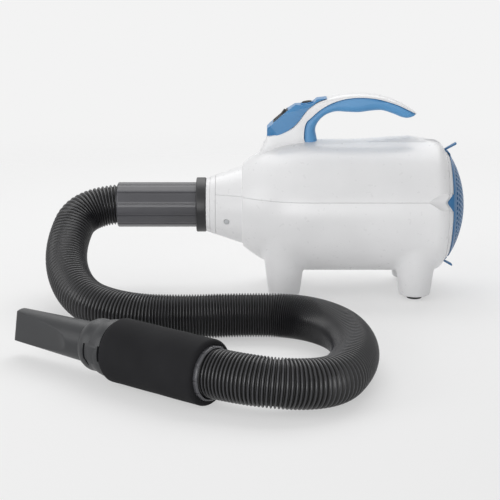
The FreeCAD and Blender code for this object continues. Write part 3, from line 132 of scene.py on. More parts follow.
def moulded(name, base, tint, roughness, grain_mm, relief_mm, ior=1.5, metallic=0.0):
    """A moulded skin: two near shades in slow clouds, a fine grain in bump and in roughness."""
    material = blank(name)
    where = add(material, "ShaderNodeTexCoord").outputs["Object"]
    clouds = speckled(material, where, CLOUD_MM, 2.0)
    shade = ramp(material, clouds, [(0.3, base), (0.7, tint)])
    grain = speckled(material, where, grain_mm, 4.0)
    low, high = max(roughness - 0.04, 0.02), roughness + 0.06
    rough = add(material, "ShaderNodeMapRange", {"Value": grain, "To Min": low, "To Max": high})
    bump = add(material, "ShaderNodeBump", {"Height": grain, "Distance": relief_mm * MM, "Strength": 0.6})
    skin = add(material, "ShaderNodeBsdfPrincipled", {
        "Base Color": shade,
        "Roughness": rough.outputs["Result"],
        "IOR": ior,
        "Metallic": metallic,
        "Normal": bump.outputs["Normal"],
    })
    return shown(material, skin.outputs["BSDF"])


def ribbed_vinyl():
    """Black vinyl over a wire coil: its attribute rib is 0 in a dull groove and 1 on a glossy crest."""
    material = blank("gloss_black_vinyl_painted_highlight_and_shade")
    rib = add(material, "ShaderNodeAttribute", attribute_name="rib").outputs["Fac"]
    # Painted highlight and painted shade: the crests' lighter grey stands in for the lamps' glints on them, and
    # the near-black grooves stand in for the shade between the ribs.
    shade = ramp(material, rib, [(0, "#030303"), (0.84, "#0B0B0D"), (1, "#3E3E42")])
    rough = add(material, "ShaderNodeMapRange", {"Value": rib, "To Min": 0.6, "To Max": 0.24})
    skin = add(material, "ShaderNodeBsdfPrincipled", {"Base Color": shade, "Roughness": rough.outputs[0]})
    return shown(material, skin.outputs["BSDF"])


# A material for each slot of the record.
MATERIALS = {
    # White ABS from a polished mould: bright, with a soft gloss and a faint orange peel.
    "white_shell": moulded("gloss_white_abs", "#E3E3E4", "#E7E7E8", 0.28, 6.0, 0.003),
    # Mid-blue ABS, the switch housing: crisp facets with a soft gloss.
    "blue_housing": moulded("gloss_blue_abs", "#3879AC", "#3E82B6", 0.3, 1.8, 0.015),
    # Lighter blue soft-touch rubber over the grip: satin, no hard highlights.
    "blue_grip": moulded("soft_touch_blue_tpe", "#4F8CBE", "#5895C6", 0.42, 0.9, 0.02),
    # Deep blue ABS, the perforated intake cover.
    "blue_cover": moulded("gloss_deep_blue_abs", "#245F8E", "#2B6A9A", 0.32, 1.6, 0.012),
    # Black ABS with a fine spark-eroded grain, of the hose collar and the cord gland.
    "black_plastic": moulded("grained_black_abs", "#1B1B1D", "#242426", 0.42, 0.7, 0.03),
    # Grey ABS of the fluted hose cuffs: satin, with a soft gloss along each flat.
    "grey_cuff": moulded("satin_grey_abs", "#47474A", "#4E4E52", 0.32, 1.0, 0.02),
    # Dark glass-filled nylon of the coupling and the nozzle: satin, slightly rough from the glass.
    "nozzle_grey": moulded("satin_dark_nylon", "#27282A", "#2E2F31", 0.4, 0.9, 0.03, ior=1.42),
    # Black vinyl of the hose, with a painted highlight on each rib's crest and painted shade in each groove.
    "hose": ribbed_vinyl(),
    # Closed-cell foam of the sleeve: matte charcoal with fine cells.
    "foam_sleeve": moulded("charcoal_cell_foam", "#18181A", "#1E1E20", 0.8, 0.6, 0.08, ior=1.25),
    # Black rubber of feet and seals.
    "black_rubber": moulded("black_rubber", "#121213", "#1A1A1B", 0.6, 0.8, 0.03),
    # Open-cell foam of the filter and the liner: pale blue, light behind the cover's holes.
    "filter_foam": moulded("pale_open_cell_foam", "#9CC6E0", "#B4D6EA", 0.9, 1.2, 0.4),
    # Zinc-plated steel of screws and shafts.
    "steel": moulded("zinc_plated_steel", "#A9ABAD", "#B9BBBD", 0.3, 0.8, 0.01, metallic=1.0),
    # Galvanised sheet of the motor's frame, the fan's shroud and the duct.
    "sheet_steel": moulded("galvanised_sheet", "#9DA0A2", "#B4B6B8", 0.38, 6.0, 0.01, metallic=1.0),
    # Stacked core steel: dull, with a blue-grey varnish.
    "core_steel": moulded("varnished_core_steel", "#4C4E52", "#5A5C60", 0.45, 0.5, 0.05, metallic=1.0),
    # Stamped aluminium of the impeller and the heat sink.
    "alloy": moulded("stamped_aluminium", "#C0C2C4", "#CDCFD1", 0.34, 1.0, 0.01, metallic=1.0),
    # Enamelled copper wire.
    "copper": moulded("enamelled_copper", "#8A4A24", "#A65C2E", 0.28, 0.8, 0.06, metallic=1.0),
    # Pressed carbon of the brushes.
    "carbon": moulded("pressed_carbon", "#1C1C1D", "#262627", 0.6, 0.4, 0.02),
    # Mica sheet of the heater cards.
    "mica": moulded("mica_sheet", "#A79D83", "#B8AE94", 0.5, 3.0, 0.02),
    # Resistance wire, brown from heat.
    "heater_wire": moulded("resistance_wire", "#6A625C", "#7B726A", 0.4, 0.5, 0.01, metallic=1.0),
    # Green glass-fibre board.
    "board": moulded("green_glass_fibre", "#1E4F30", "#245A38", 0.4, 0.6, 0.02),
}
MATERIALS["inner_plastic"] = MATERIALS["black_plastic"]
# Matt black ABS of the rocker and the dial's knob, which hold no highlight.
MATT_BLACK = moulded("matt_black_abs", "#0C0C0D", "#121213", 0.62, 0.7, 0.02, ior=1.35)


def dress_nodes():
    """Give every carried-over node the material of its slot."""
    for part in frame["record"]["subparts"]:
        worn = frame["nodes"][part["node"]].data.materials
        worn.clear()
        worn.append(MATERIALS[part["material_slot"]])


def in_sight(material):
    """1 where the camera, a gloss or a glass looks, and 0 for the light that falls on the object."""
    rays = add(material, "ShaderNodeLightPath").outputs
    seen = rays["Is Camera Ray"]
    for ray in ("Is Glossy Ray", "Is Transmission Ray"):
        seen = add(material, "ShaderNodeMath", {0: seen, 1: rays[ray]}, operation="MAXIMUM").outputs[0]
    return seen


# The table's radius, and how far from its middle it starts and ends to fade, in metres.
TABLE_RADIUS, FADE_START, FADE_END = 1.6, 0.75, 1.5
# How strongly the room lights the object, and the share of the table's look that is its own pale colour.
ROOM_GLOW, TABLE_LIFT = 0.42, 0.5
# Each lamp's place in metres, tilt and turn in degrees, width and depth in metres, and watts.
LAMPS = {
    "overhead": ((0.1, 0.85, 1.35), -30, 0, 1.8, 1.2, 15),
    "front": ((-0.4, -2.1, 0.35), 82, -10, 1.6, 1.0, 22),
    "left": ((-1.6, -0.6, 0.7), 70, -69, 1.0, 1.0, 8),
}


def studio():
    """A pale table that fades into a pale room, with wide soft lamps."""
    world = bpy.data.worlds.new("room")
    bpy.context.scene.world = world
    world.use_nodes = True
    world.node_tree.nodes.clear()
    glow = add(world, "ShaderNodeBackground", {"Color": linear("#F4F4F4"), "Strength": ROOM_GLOW})
    room = add(world, "ShaderNodeBackground", {"Color": linear("#F3F3F3"), "Strength": 1.0})
    mix = add(world, "ShaderNodeMixShader", {0: in_sight(world), 1: glow.outputs[0], 2: room.outputs[0]})
    add(world, "ShaderNodeOutputWorld", {"Surface": mix.outputs[0]})

    table = blank("pale_table")
    where = add(table, "ShaderNodeTexCoord").outputs["Object"]
    away = add(table, "ShaderNodeVectorMath", {0: where}, operation="LENGTH")
    fade = add(table, "ShaderNodeMapRange", {
        "Value": away.outputs["Value"],
        "From Min": FADE_START,
        "From Max": FADE_END,
    }, interpolation_type="SMOOTHSTEP")
    paper = add(table, "ShaderNodeBsdfDiffuse", {"Color": linear("#F4F4F4")})
    lifted = add(table, "ShaderNodeEmission", {"Color": linear("#F6F6F6"), "Strength": 1.0})
    share = add(table, "ShaderNodeMath", {0: in_sight(table), 1: TABLE_LIFT}, operation="MULTIPLY")
    clear = add(table, "ShaderNodeBsdfTransparent")

    def mixed(factor, first, second):
        return add(table, "ShaderNodeMixShader", {0: factor.outputs[0], 1: first.outputs[0],
                                                  2: second.outputs[0]})

    shown(table, mixed(fade, mixed(share, paper, lifted), clear).outputs[0])
    sheet = bmesh.new()
    bmesh.ops.create_circle(sheet, cap_ends=True, segments=64, radius=TABLE_RADIUS)
    floor = settled("table", sheet, Matrix.Translation((0, 0, -0.0002)), table)

    for name, (place, tilt, turn, wide, deep, watts) in LAMPS.items():
        lamp = bpy.data.lights.new(name, "AREA")
        lamp.shape = "RECTANGLE"
        lamp.size = wide
        lamp.size_y = deep
        lamp.energy = watts
        holder = bpy.data.objects.new(name, lamp)
        holder.location = place
        holder.rotation_euler = (radians(tilt), 0, radians(turn))
        bpy.context.scene.collection.objects.link(holder)
    bpy.context.scene.view_settings.view_transform = "Standard"


def settled(name, bm, place, material, smooth_under=35):
    """A finished mesh object in its place, smooth but for the edges sharper than an angle."""
    placed(bm, place)
    bmesh.ops.recalc_face_normals(bm, faces=bm.faces)
    for face in bm.faces:
        face.smooth = True
    for edge in bm.edges:
        edge.smooth = len(edge.link_faces) < 2 or edge.calc_face_angle(0) < radians(smooth_under)
    mesh = bpy.data.meshes.new(name)
    bm.to_mesh(mesh)
    bm.free()
    mesh.materials.append(material)
    piece = bpy.data.objects.new(name, mesh)
    bpy.context.scene.collection.objects.link(piece)
    return piece


def dressed(name, bm, place, slot, nodes, smooth_under=35, body="root", material=None):
    """A piece that stands for CAD nodes, riding on their body."""
    piece = settled(name, bm, place, material or MATERIALS[slot], smooth_under)
    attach(piece, body)
    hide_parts(*nodes)
    return piece


def among(geom, kind):
    """The items of one kind in an operator's result."""
    return [item for item in geom if isinstance(item, kind)]


def grown(bm, ring, move):
    """Extrude a ring of edges, put each new corner where move says, and return the new ring."""
    fresh = bmesh.ops.extrude_edge_only(bm, edges=ring)["geom"]
    corners = among(fresh, bmesh.types.BMVert)
    for corner in corners:
        corner.co = move(corner.co)
    return [edge for edge in among(fresh, bmesh.types.BMEdge) if set(edge.verts) <= set(corners)]


def joined(bm, corners):
    """Edges from each corner to the next."""
    for before, after in zip(corners, corners[1:]):
        bm.edges.new((before, after))


def spun(bm, steps, geom=None):
    """Spin a line of edges once round the X axis."""
    bmesh.ops.spin(bm, geom=geom or bm.verts[:] + bm.edges[:], cent=(0, 0, 0), axis=(1, 0, 0),
                   angle=tau, steps=steps, use_merge=True)


# The free hose, in metres on the table: from the socket in the dryer's cuff, forward and down,
# along in front of the dryer, and round a half circle into the handpiece's cuff.
HOSE_ROUTE = [
    (-0.1302, 0.190, 0.1125), (-0.220, 0.1965, 0.1175), (-0.243, 0.123, 0.065), (-0.215, 0.032, 0.032),
    (-0.154, -0.020, 0.026), (-0.082, -0.026, 0.026), (-0.010, -0.017, 0.026), (0.053, -0.022, 0.026),
    (0.095, -0.066, 0.026), (0.110, -0.129, 0.026), (0.105, -0.194, 0.026), (0.077, -0.262, 0.026),
    (-0.01016, -0.27621, 0.035), (-0.07866, -0.22422, 0.035),
]
HOSE_RADIUS, GROOVE_RADIUS = 0.026, 0.0234
HOSE_SIDES = 52
# Across one rib: share of the pitch, and how far from the groove's floor to the crest.
RIB_SHAPE = ((0.0, 0.0), (0.2, 0.0), (0.42, 0.85), (0.6, 1.0), (0.78, 0.85))
# The ribs' pitch at shares of the hose's length: a stretch hose is drawn out in its two bends.
RIB_PITCHES = (
    (0, 0.0041), (0.08, 0.0046), (0.16, 0.0056), (0.28, 0.0052), (0.38, 0.0034), (0.54, 0.0031),
    (0.62, 0.0044), (0.69, 0.0054), (0.78, 0.005), (0.87, 0.0038), (1, 0.0036),
)


def route_points():
    """Close points on the hose's smooth centre line."""
    route = bpy.data.curves.new("hose_line", "CURVE")
    route.dimensions = "3D"
    route.resolution_u = 24
    spline = route.splines.new("NURBS")
    spline.points.add(len(HOSE_ROUTE) - 1)
    for point, place in zip(spline.points, HOSE_ROUTE):
        point.co = (*place, 1)
    spline.order_u = 3
    spline.use_endpoint_u = True
    line = bpy.data.objects.new("hose_line", route)
    bpy.context.scene.collection.objects.link(line)
    bpy.context.view_layer.update()
    mesh = bpy.data.meshes.new_from_object(line)
    points = [vert.co.copy() for vert in mesh.vertices]
    bpy.data.objects.remove(line)
    bpy.data.meshes.remove(mesh)
    return points


def stations(points):
    """A function from a distance along the points to the place and the way there."""
    reach = [0.0]
    for before, after in zip(points, points[1:]):
        reach.append(reach[-1] + (after - before).length)
    ways = [(points[min(i + 1, len(points) - 1)] - points[max(i - 1, 0)]).normalized()
            for i in range(len(points))]

    def at(distance):
        distance = min(max(distance, 0), reach[-1])
        index = next((i for i in range(1, len(reach)) if reach[i] >= distance), len(reach) - 1)
        share = (distance - reach[index - 1]) / (reach[index] - reach[index - 1])
        way = ways[index - 1].lerp(ways[index], share).normalized()
        return points[index - 1].lerp(points[index], share), way

    return at, reach[-1]


def rib_starts(length):
    """The distances along the hose at which its ribs start, and its end."""
    starts, here = [], 0.0
    while here < length - RIB_PITCHES[-1][1]:
        starts.append(here)
        for (low, near), (high, far) in zip(RIB_PITCHES, RIB_PITCHES[1:]):
            if low <= here / length <= high:
                pitch = near + (far - near) * (here / length - low) / (high - low)
        here += pitch
    return starts + [length]


def make_hose():
    """The ribbed skin, spun straight along X and then laid along the route."""
    points = route_points()
    at, length = stations(points)
    starts = rib_starts(length)
    height = HOSE_RADIUS - GROOVE_RADIUS
    bm = bmesh.new()
    crests = bm.verts.layers.float.new("rib")
    profile = [bm.verts.new((start + (end - start) * share, 0, GROOVE_RADIUS + height * rise))
               for start, end in zip(starts, starts[1:]) for share, rise in RIB_SHAPE]
    joined(bm, profile)
    spun(bm, HOSE_SIDES)
    turns = {}
    for vert in bm.verts:
        distance = round(vert.co.x, 7)
        if distance not in turns:
            here, way = at(distance)
            level = Vector((0, 0, 1)).cross(way).normalized()
            turns[distance] = here, level, way.cross(level)
        here, level, upright = turns[distance]
        # The rise from groove to crest; the vinyl's colour ramp reads it to paint shade in the grooves and a
        # highlight on the crests.
        vert[crests] = (vert.co.yz.length - GROOVE_RADIUS) / height
        vert.co = here + level * vert.co.y + upright * vert.co.z
    hose = dressed("ribbed_hose", bm, Matrix.Identity(4), "hose", ["air_hose"], 60)


def arc_points(start, end, radius, steps):
    """Points along an arc, without its end; a positive radius keeps its centre left of the way."""
    start, end = Vector(start), Vector(end)
    half = (end - start) / 2
    left = Vector((-half.y, half.x)).normalized()
    centre = start + half + left * sqrt(radius ** 2 - half.length_squared) * (1 if radius > 0 else -1)
    first = atan2(start.y - centre.y, start.x - centre.x)
    turn = (atan2(end.y - centre.y, end.x - centre.x) - first + pi) % tau - pi
    return [centre + abs(radius) * Vector((cos(first + turn * i / steps), sin(first + turn * i / steps)))
            for i in range(steps)]


def outline(corners):
    """Points of a closed outline; a corner may carry steps to the next, or an arc's radius and steps."""
    points = []
    for corner, following in zip(corners, corners[1:] + corners[:1]):
        if len(corner) == 4:
            points += arc_points(corner[:2], following[:2], corner[2], corner[3])
        elif len(corner) == 3:
            start, end, steps = Vector(corner[:2]), Vector(following[:2]), corner[2]
            points += [start.lerp(end, step / steps) for step in range(steps)]
        else:
            points.append(Vector(corner))
    return points


# Corners nearer to each other than this, in millimetres, are welded.
WELD = 0.0005


def lathe(corners, steps):
    """An outline of (along, away) spun round the X axis."""
    bm = bmesh.new()
    ring = [bm.verts.new((along, 0, away)) for along, away in outline(corners)]
    joined(bm, ring[-1:] + ring)
    axis = [link for link in bm.edges if all(abs(end.co.z) < 1e-6 for end in link.verts)]
    bmesh.ops.delete(bm, geom=axis, context="EDGES")
    spun(bm, steps)
    bmesh.ops.remove_doubles(bm, verts=bm.verts, dist=WELD)
    bmesh.ops.recalc_face_normals(bm, faces=bm.faces)
    return bm


def worked(body, tools=()):
    """The mesh that an object's modifiers give; the object and its tools go."""
    bpy.context.view_layer.update()
    result = bpy.data.meshes.new_from_object(body.evaluated_get(bpy.context.evaluated_depsgraph_get()))
    fresh = bmesh.new()
    fresh.from_mesh(result)
    for thing in [body, *tools]:
        bpy.data.objects.remove(thing)
    return fresh


def lent(bm):
    """An object that lives only while its modifiers work."""
    return settled("lent", bm, Matrix.Identity(4), MATERIALS["white_shell"])


def carved(bm, cutters):
    """Take closed cutters away from a mesh."""
    body = lent(bm)
    tools = [lent(cutter) for cutter in cutters]
    for tool in tools:
        cut = body.modifiers.new("cut", "BOOLEAN")
        cut.operation = "DIFFERENCE"
        cut.solver = "EXACT"
        cut.object = tool
    fresh = worked(body, tools)
    bmesh.ops.remove_doubles(fresh, verts=fresh.verts, dist=WELD)
    return fresh


def subdivided(bm):
    """One level of a subdivision surface."""
    body = lent(bm)
    smooth = body.modifiers.new("smooth", "SUBSURF")
    smooth.levels = smooth.render_levels = 1
    return worked(body)


def merged(*parts):
    """Several bmeshes as one."""
    whole = bmesh.new()
    for part in parts:
        mesh = bpy.data.meshes.new("part")
        part.to_mesh(mesh)
        part.free()
        whole.from_mesh(mesh)
        bpy.data.meshes.remove(mesh)
    return whole


def turned(bm, angle, axis="X"):
    """The mesh, turned by degrees about an axis through the origin."""
    return placed(bm, tilted((0, 0, 0), angle, axis))


def tilted(place, angle, axis="Y"):
    """The matrix of a place, turned there by degrees about an axis."""
    return Matrix.Translation(place) @ Matrix.Rotation(radians(angle), 4, axis)


def placed(bm, matrix):
    """The mesh, moved by a matrix."""
    bmesh.ops.transform(bm, matrix=matrix, verts=bm.verts)
    return bm


def block(low, high, edge=0.0):
    """A box between two corners, its edges rounded."""
    bm = bmesh.new()
    low, high = Vector(low), Vector(high)
    bmesh.ops.create_cube(bm, size=1)
    bmesh.ops.scale(bm, verts=bm.verts, vec=high - low)
    bmesh.ops.translate(bm, verts=bm.verts, vec=(high + low) / 2)
    if edge:
        bmesh.ops.bevel(bm, geom=bm.edges[:], offset=edge, segments=3, profile=0.5, affect="EDGES",
                        material=-1)
    return bm


def slab(corners, low, high, plane="Y"):
    """An outline pushed out between two levels along X, Y (across the barrel) or Z."""
    bm = bmesh.new()
    axis = "XYZ".index(plane)
    ring = []
    for corner in outline(corners):
        place = list(corner)
        place.insert(axis, low)
        ring.append(bm.verts.new(place))
    out = bmesh.ops.extrude_face_region(bm, geom=[bm.faces.new(ring)])["geom"]
    lift = Vector((0, 0, 0))
    lift[axis] = high - low
    bmesh.ops.translate(bm, verts=among(out, bmesh.types.BMVert), vec=lift)
    bmesh.ops.recalc_face_normals(bm, faces=bm.faces)
    return bm


# The barrel's stations along X and its radii there, and the radii and centre of its arcs.
BARREL_RADIUS = 85
BARREL_START, BARREL_END = 130, 290
RIM_X, RIM_RADIUS = 306.5, 73.5
SHELL_LENGTH = 312
MOUTH_RADIUS, MOUTH_BORE = 67, 62
NOSE_X, NOSE_RADIUS = 12.4, 38.6
NECK_X, NECK_RADIUS = 45, 49.5
SHOULDER_X, SHOULDER_RADIUS, SHOULDER_ARC = 47.5, 53.2, 125
SHOULDER_CENTRE, REAR_ARC = 130.8, 17.6
WALL = 3
SHELL_STEPS = 224
PARTING_LEVEL = 20
SEAM_HALF, SEAM_DEPTH = 0.45, 1.1
SIDE_NOTCH_TURN = 76
NOTCH_TURNS = (0, 180, SIDE_NOTCH_TURN, -SIDE_NOTCH_TURN)


def shell_corners(pitch):
    """The barrel's wall, from the nose to the intake's rim and back inside."""
    return [
        (NOSE_X, NOSE_RADIUS - WALL),
        (NOSE_X, NOSE_RADIUS, 6),
        (NECK_X - 0.6, NECK_RADIUS - 0.2, 3, 3),
        (SHOULDER_X, SHOULDER_RADIUS, -SHOULDER_ARC, 22),
        (BARREL_START, BARREL_RADIUS, round((BARREL_END - BARREL_START) / pitch)),
        (BARREL_END, BARREL_RADIUS, -REAR_ARC, 16),
        (RIM_X - 0.4, RIM_RADIUS + 0.5),
        (RIM_X - 0.2, RIM_RADIUS - 1.3),
        (RIM_X + 0.6, RIM_RADIUS - 1.3),
        (RIM_X + 0.8, RIM_RADIUS - 0.5, 3),
        (SHELL_LENGTH - 0.6, MOUTH_RADIUS + 0.5),
        (SHELL_LENGTH, MOUTH_RADIUS - 0.5),
        (SHELL_LENGTH, MOUTH_BORE),
        (SHELL_LENGTH - WALL, MOUTH_BORE),
        (RIM_X - 2 * WALL, MOUTH_RADIUS),
        (BARREL_END, BARREL_RADIUS - 2 * WALL),
        (BARREL_END - 2 * WALL, BARREL_RADIUS - WALL, 4),
        (BARREL_START, BARREL_RADIUS - WALL, SHOULDER_ARC - WALL, 8),
        (SHOULDER_X + WALL * 0.7, SHOULDER_RADIUS - WALL / 2),
        (NECK_X + WALL / 2, NECK_RADIUS - WALL, 3),
    ]


def shell_radius(x):
    """The outer radius along the axis, over the shoulder, the barrel and the rear arc."""
    if x < SHOULDER_CENTRE:
        return BARREL_RADIUS - SHOULDER_ARC + sqrt(SHOULDER_ARC ** 2 - (SHOULDER_CENTRE - x) ** 2)
    if x > BARREL_END:
        return BARREL_RADIUS - REAR_ARC + sqrt(REAR_ARC ** 2 - (x - BARREL_END) ** 2)
    return BARREL_RADIUS


def shell_part(side, pitch):
    """The barrel above (1) or below (-1) its parting plane, with a fine groove along the plane."""
    bm = lathe(shell_corners(pitch), SHELL_STEPS)
    for level, clear in ((PARTING_LEVEL + side * SEAM_HALF, False), (PARTING_LEVEL, True)):
        cut = bmesh.ops.bisect_plane(bm, geom=bm.verts[:] + bm.edges[:] + bm.faces[:], dist=0.0001,
                                     plane_co=(0, 0, level), plane_no=(0, 0, -side), clear_outer=clear)
    bmesh.ops.holes_fill(bm, edges=among(cut["geom_cut"], bmesh.types.BMEdge))
    bm.normal_update()
    for vert in bm.verts:
        if abs(vert.co.z - PARTING_LEVEL) < 1e-4 and any(
                abs(face.normal.z) < 0.8 and face.normal.y * vert.co.y > 1 for face in vert.link_faces):
            vert.co.y -= copysign(SEAM_DEPTH, vert.co.y)
    return bm


# Each notch is a scoop, a leaning cone, and a wedge through the rim.
SCOOP_TIP, SCOOP_LEAN, SCOOP_RADIUS, SCOOP_DEPTH = (278, 0, 85.2), 72.3, 31, 40
WEDGE_TIP, WEDGE_HALF, WEDGE_LOW, WEDGE_HIGH = 300, 11, 70, 88


def rim_notches():
    """Cutters for the four V notches in the rim, where the cover's flares come out."""
    cutters = []
    for turn in NOTCH_TURNS:
        scoop = bmesh.new()
        lean = tilted(SCOOP_TIP, SCOOP_LEAN) @ Matrix.Translation((0, 0, SCOOP_DEPTH / 2))
        bmesh.ops.create_cone(scoop, cap_ends=True, segments=72, radius1=0.01, radius2=SCOOP_RADIUS,
                              depth=SCOOP_DEPTH, matrix=lean)
        past = SHELL_LENGTH + WALL
        wedge = slab([(WEDGE_TIP, 0), (RIM_X, -WEDGE_HALF), (past, -WEDGE_HALF), (past, WEDGE_HALF),
                      (RIM_X, WEDGE_HALF)], WEDGE_LOW, WEDGE_HIGH, "Z")
        cutters += [turned(scoop, turn), turned(wedge, turn)]
    return cutters


def soft_max(first, second, reach):
    """The larger of two heights, blended where they are nearer than reach."""
    share = min(max(0.5 + 0.5 * (second - first) / reach, 0), 1)
    return first + (second - first) * share + reach * share * (1 - share)


# The crest's stations and levels, and its roof: half its flat top, and the fall of its sides.
CREST_X, CREST_TOP_X, CREST_END = 182.5, 260, 293
CREST_TOP, CREST_EDGE = 89.8, 83.5
ROOF_TOP, ROOF_HALF, ROOF_FALL = 90.1, 7, 0.83


def raise_crest(bm):
    """The faceted ridge along the top, highest over the intake's end."""
    for vert in bm.verts:
        x, y, z = vert.co
        if z < 70 or hypot(y, z) < BARREL_RADIUS - 1 or not CREST_X - 4 < x < CREST_END + 4:
            continue
        if x < CREST_TOP_X:
            ridge = CREST_EDGE + (CREST_TOP - CREST_EDGE) * (x - CREST_X) / (CREST_TOP_X - CREST_X)
        else:
            ridge = CREST_TOP + (CREST_EDGE - CREST_TOP) * (x - CREST_TOP_X) / (CREST_END - CREST_TOP_X)
        roof = ROOF_TOP - max(abs(y) - ROOF_HALF, 0) * ROOF_FALL
        vert.co.z = soft_max(z, min(ridge, roof), 0.5)


LEG_PLACES = [(x, side) for x in (100.5, 268) for side in (45, -45)]
# The foot's level and radius, the rounding under it, how the leg widens upwards, and the fillet's reach.
LEG_FOOT, LEG_FOOT_RADIUS, LEG_EDGE = -107.5, 20, 2.5
LEG_FLARE, LEG_FILLET = 6.5 / 53, 9
LEG_SIDES = 96


def leg(x, side):
    """A tapered round leg whose top runs out over the barrel in a soft fillet."""
    bm = bmesh.new()
    bmesh.ops.create_circle(bm, cap_ends=True, segments=LEG_SIDES, radius=LEG_FOOT_RADIUS - LEG_EDGE,
                            matrix=Matrix.Translation((x, side, LEG_FOOT)))
    ring = bm.edges[:]

    def way(place):
        return Vector((place.x - x, place.y - side, 0)).normalized()

    def on_cone(place, level):
        return Vector((x, side, level)) + way(place) * (LEG_FOOT_RADIUS + (level - LEG_FOOT) * LEG_FLARE)

    def on_barrel(place, depth=0):
        flat = Vector((0, place.y, place.z)).normalized() * (shell_radius(place.x) - depth)
        return Vector((place.x, flat.y, flat.z))

    def meeting(place):
        """Where the cone runs into the barrel, by repeated guesses of the level."""
        level = -60.0
        for _ in range(12):
            spot = on_cone(place, level)
            level = -sqrt(max(shell_radius(spot.x) ** 2 - spot.y ** 2, 1))
        return on_cone(place, level)

    for step in range(1, 9):
        turn = pi / 2 * step / 8
        ring = grown(bm, ring, lambda place: Vector((x, side, LEG_FOOT + LEG_EDGE * (1 - cos(turn))))
                     + way(place) * (LEG_FOOT_RADIUS - LEG_EDGE + LEG_EDGE * sin(turn)))

    def fillet(place, share):
        top = meeting(place)
        outward = way(place)
        slope = (shell_radius(top.x + 1) - shell_radius(top.x - 1)) / 2
        normal = (Vector((0, top.y, top.z)).normalized() - Vector((slope, 0, 0))).normalized()
        along = (outward - normal * outward.dot(normal)).normalized()
        start = on_cone(place, top.z - LEG_FILLET)
        end = on_barrel(top + along * LEG_FILLET)
        return start.lerp(top, share).lerp(top.lerp(end, share), share)

    for share in (0.33, 0.66):
        low = LEG_FOOT + LEG_EDGE
        ring = grown(bm, ring, lambda place: on_cone(
            place, low + (meeting(place).z - LEG_FILLET - low) * share))
    for step in range(11):
        ring = grown(bm, ring, lambda place: fillet(place, step / 10))
    ring = grown(bm, ring, lambda place: on_barrel(place, WALL / 2))
    bmesh.ops.contextual_create(bm, geom=ring)
    caps = [face for face in bm.faces if len(face.verts) == LEG_SIDES]
    bmesh.ops.poke(bm, faces=[max(caps, key=lambda face: face.calc_center_median().z)])
    bmesh.ops.recalc_face_normals(bm, faces=bm.faces)
    return bm


# The two screw recesses low on the nose.
RECESS_X, RECESS_SIDE, RECESS_LEVEL, RECESS_RADIUS, RECESS_DEPTH = 26.7, 42, -13.6, 3.7, 20


def make_shells():
    """The upper shell with its crest, and the lower one with its legs and screw recesses."""
    upper = shell_part(1, 2.5)
    raise_crest(upper)
    upper = carved(upper, rim_notches())
    dressed("upper_body_shell", upper, DRYER, "white_shell", ["upper_shell"], 12)
    recesses = []
    for side in (-1, 1):
        recess = bmesh.new()
        bmesh.ops.create_cone(recess, cap_ends=True, segments=40, radius1=RECESS_RADIUS,
                              radius2=RECESS_RADIUS, depth=RECESS_DEPTH,
                              matrix=tilted((RECESS_X, side * RECESS_SIDE, RECESS_LEVEL), 90, "X"))
        recesses.append(recess)
    lower = carved(shell_part(-1, 8), rim_notches() + recesses)
    lower = merged(lower, *[leg(x, side) for x, side in LEG_PLACES])
    dressed("lower_body_shell", lower, DRYER, "white_shell", ["lower_shell"], 12)


def way_through(knots, steps):
    """A smooth run of rows of numbers through the given ones, with steps from each to the next."""
    knots = [Vector(knot) for knot in knots]
    ends = [knots[0] * 2 - knots[1]] + knots + [knots[-1] * 2 - knots[-2]]
    rows = []
    for before, here, there, after in zip(ends, ends[1:], ends[2:], ends[3:]):
        leave, arrive = (there - before) / 2, (after - here) / 2
        for step in range(steps):
            t = step / steps
            rows.append(here * (2 * t ** 3 - 3 * t ** 2 + 1) + leave * (t ** 3 - 2 * t ** 2 + t)
                        + there * (3 * t ** 2 - 2 * t ** 3) + arrive * (t ** 3 - t ** 2))
    return rows + [knots[-1]]


def skinned(sections):
    """A capped skin over sections with the same number of corners: a tube, bent to pass through them."""
    sides = len(sections[0])
    bm = bmesh.new()
    joined(bm, [bm.verts.new((station, 0, 1)) for station in range(len(sections))])
    spun(bm, sides)
    for station in (0, len(sections) - 1):
        bmesh.ops.contextual_create(bm, geom=[edge for edge in bm.edges
                                              if all(round(end.co.x) == station for end in edge.verts)])
    for vert in bm.verts:
        corner = round(atan2(vert.co.y, vert.co.z) / tau * sides) % sides
        vert.co = sections[round(vert.co.x)][corner]
    bmesh.ops.recalc_face_normals(bm, faces=bm.faces)
    return bm


def between(outer, inner, half_section):
    """A section across the handle: half of it as (across, share of the way from outer to inner)."""
    outer, inner = Vector((outer[0], 0, outer[1])), Vector((inner[0], 0, inner[1]))
    near = [outer.lerp(inner, share) - Vector((0, across, 0)) for across, share in half_section]
    far = [outer.lerp(inner, share) + Vector((0, across, 0)) for across, share in half_section[-2:0:-1]]
    return near + far


def quadrant(steps):
    """A quarter circle's (across, down) from its top, without its start."""
    return [(sin(pi / 2 * step / steps), 1 - cos(pi / 2 * step / steps)) for step in range(1, steps + 1)]


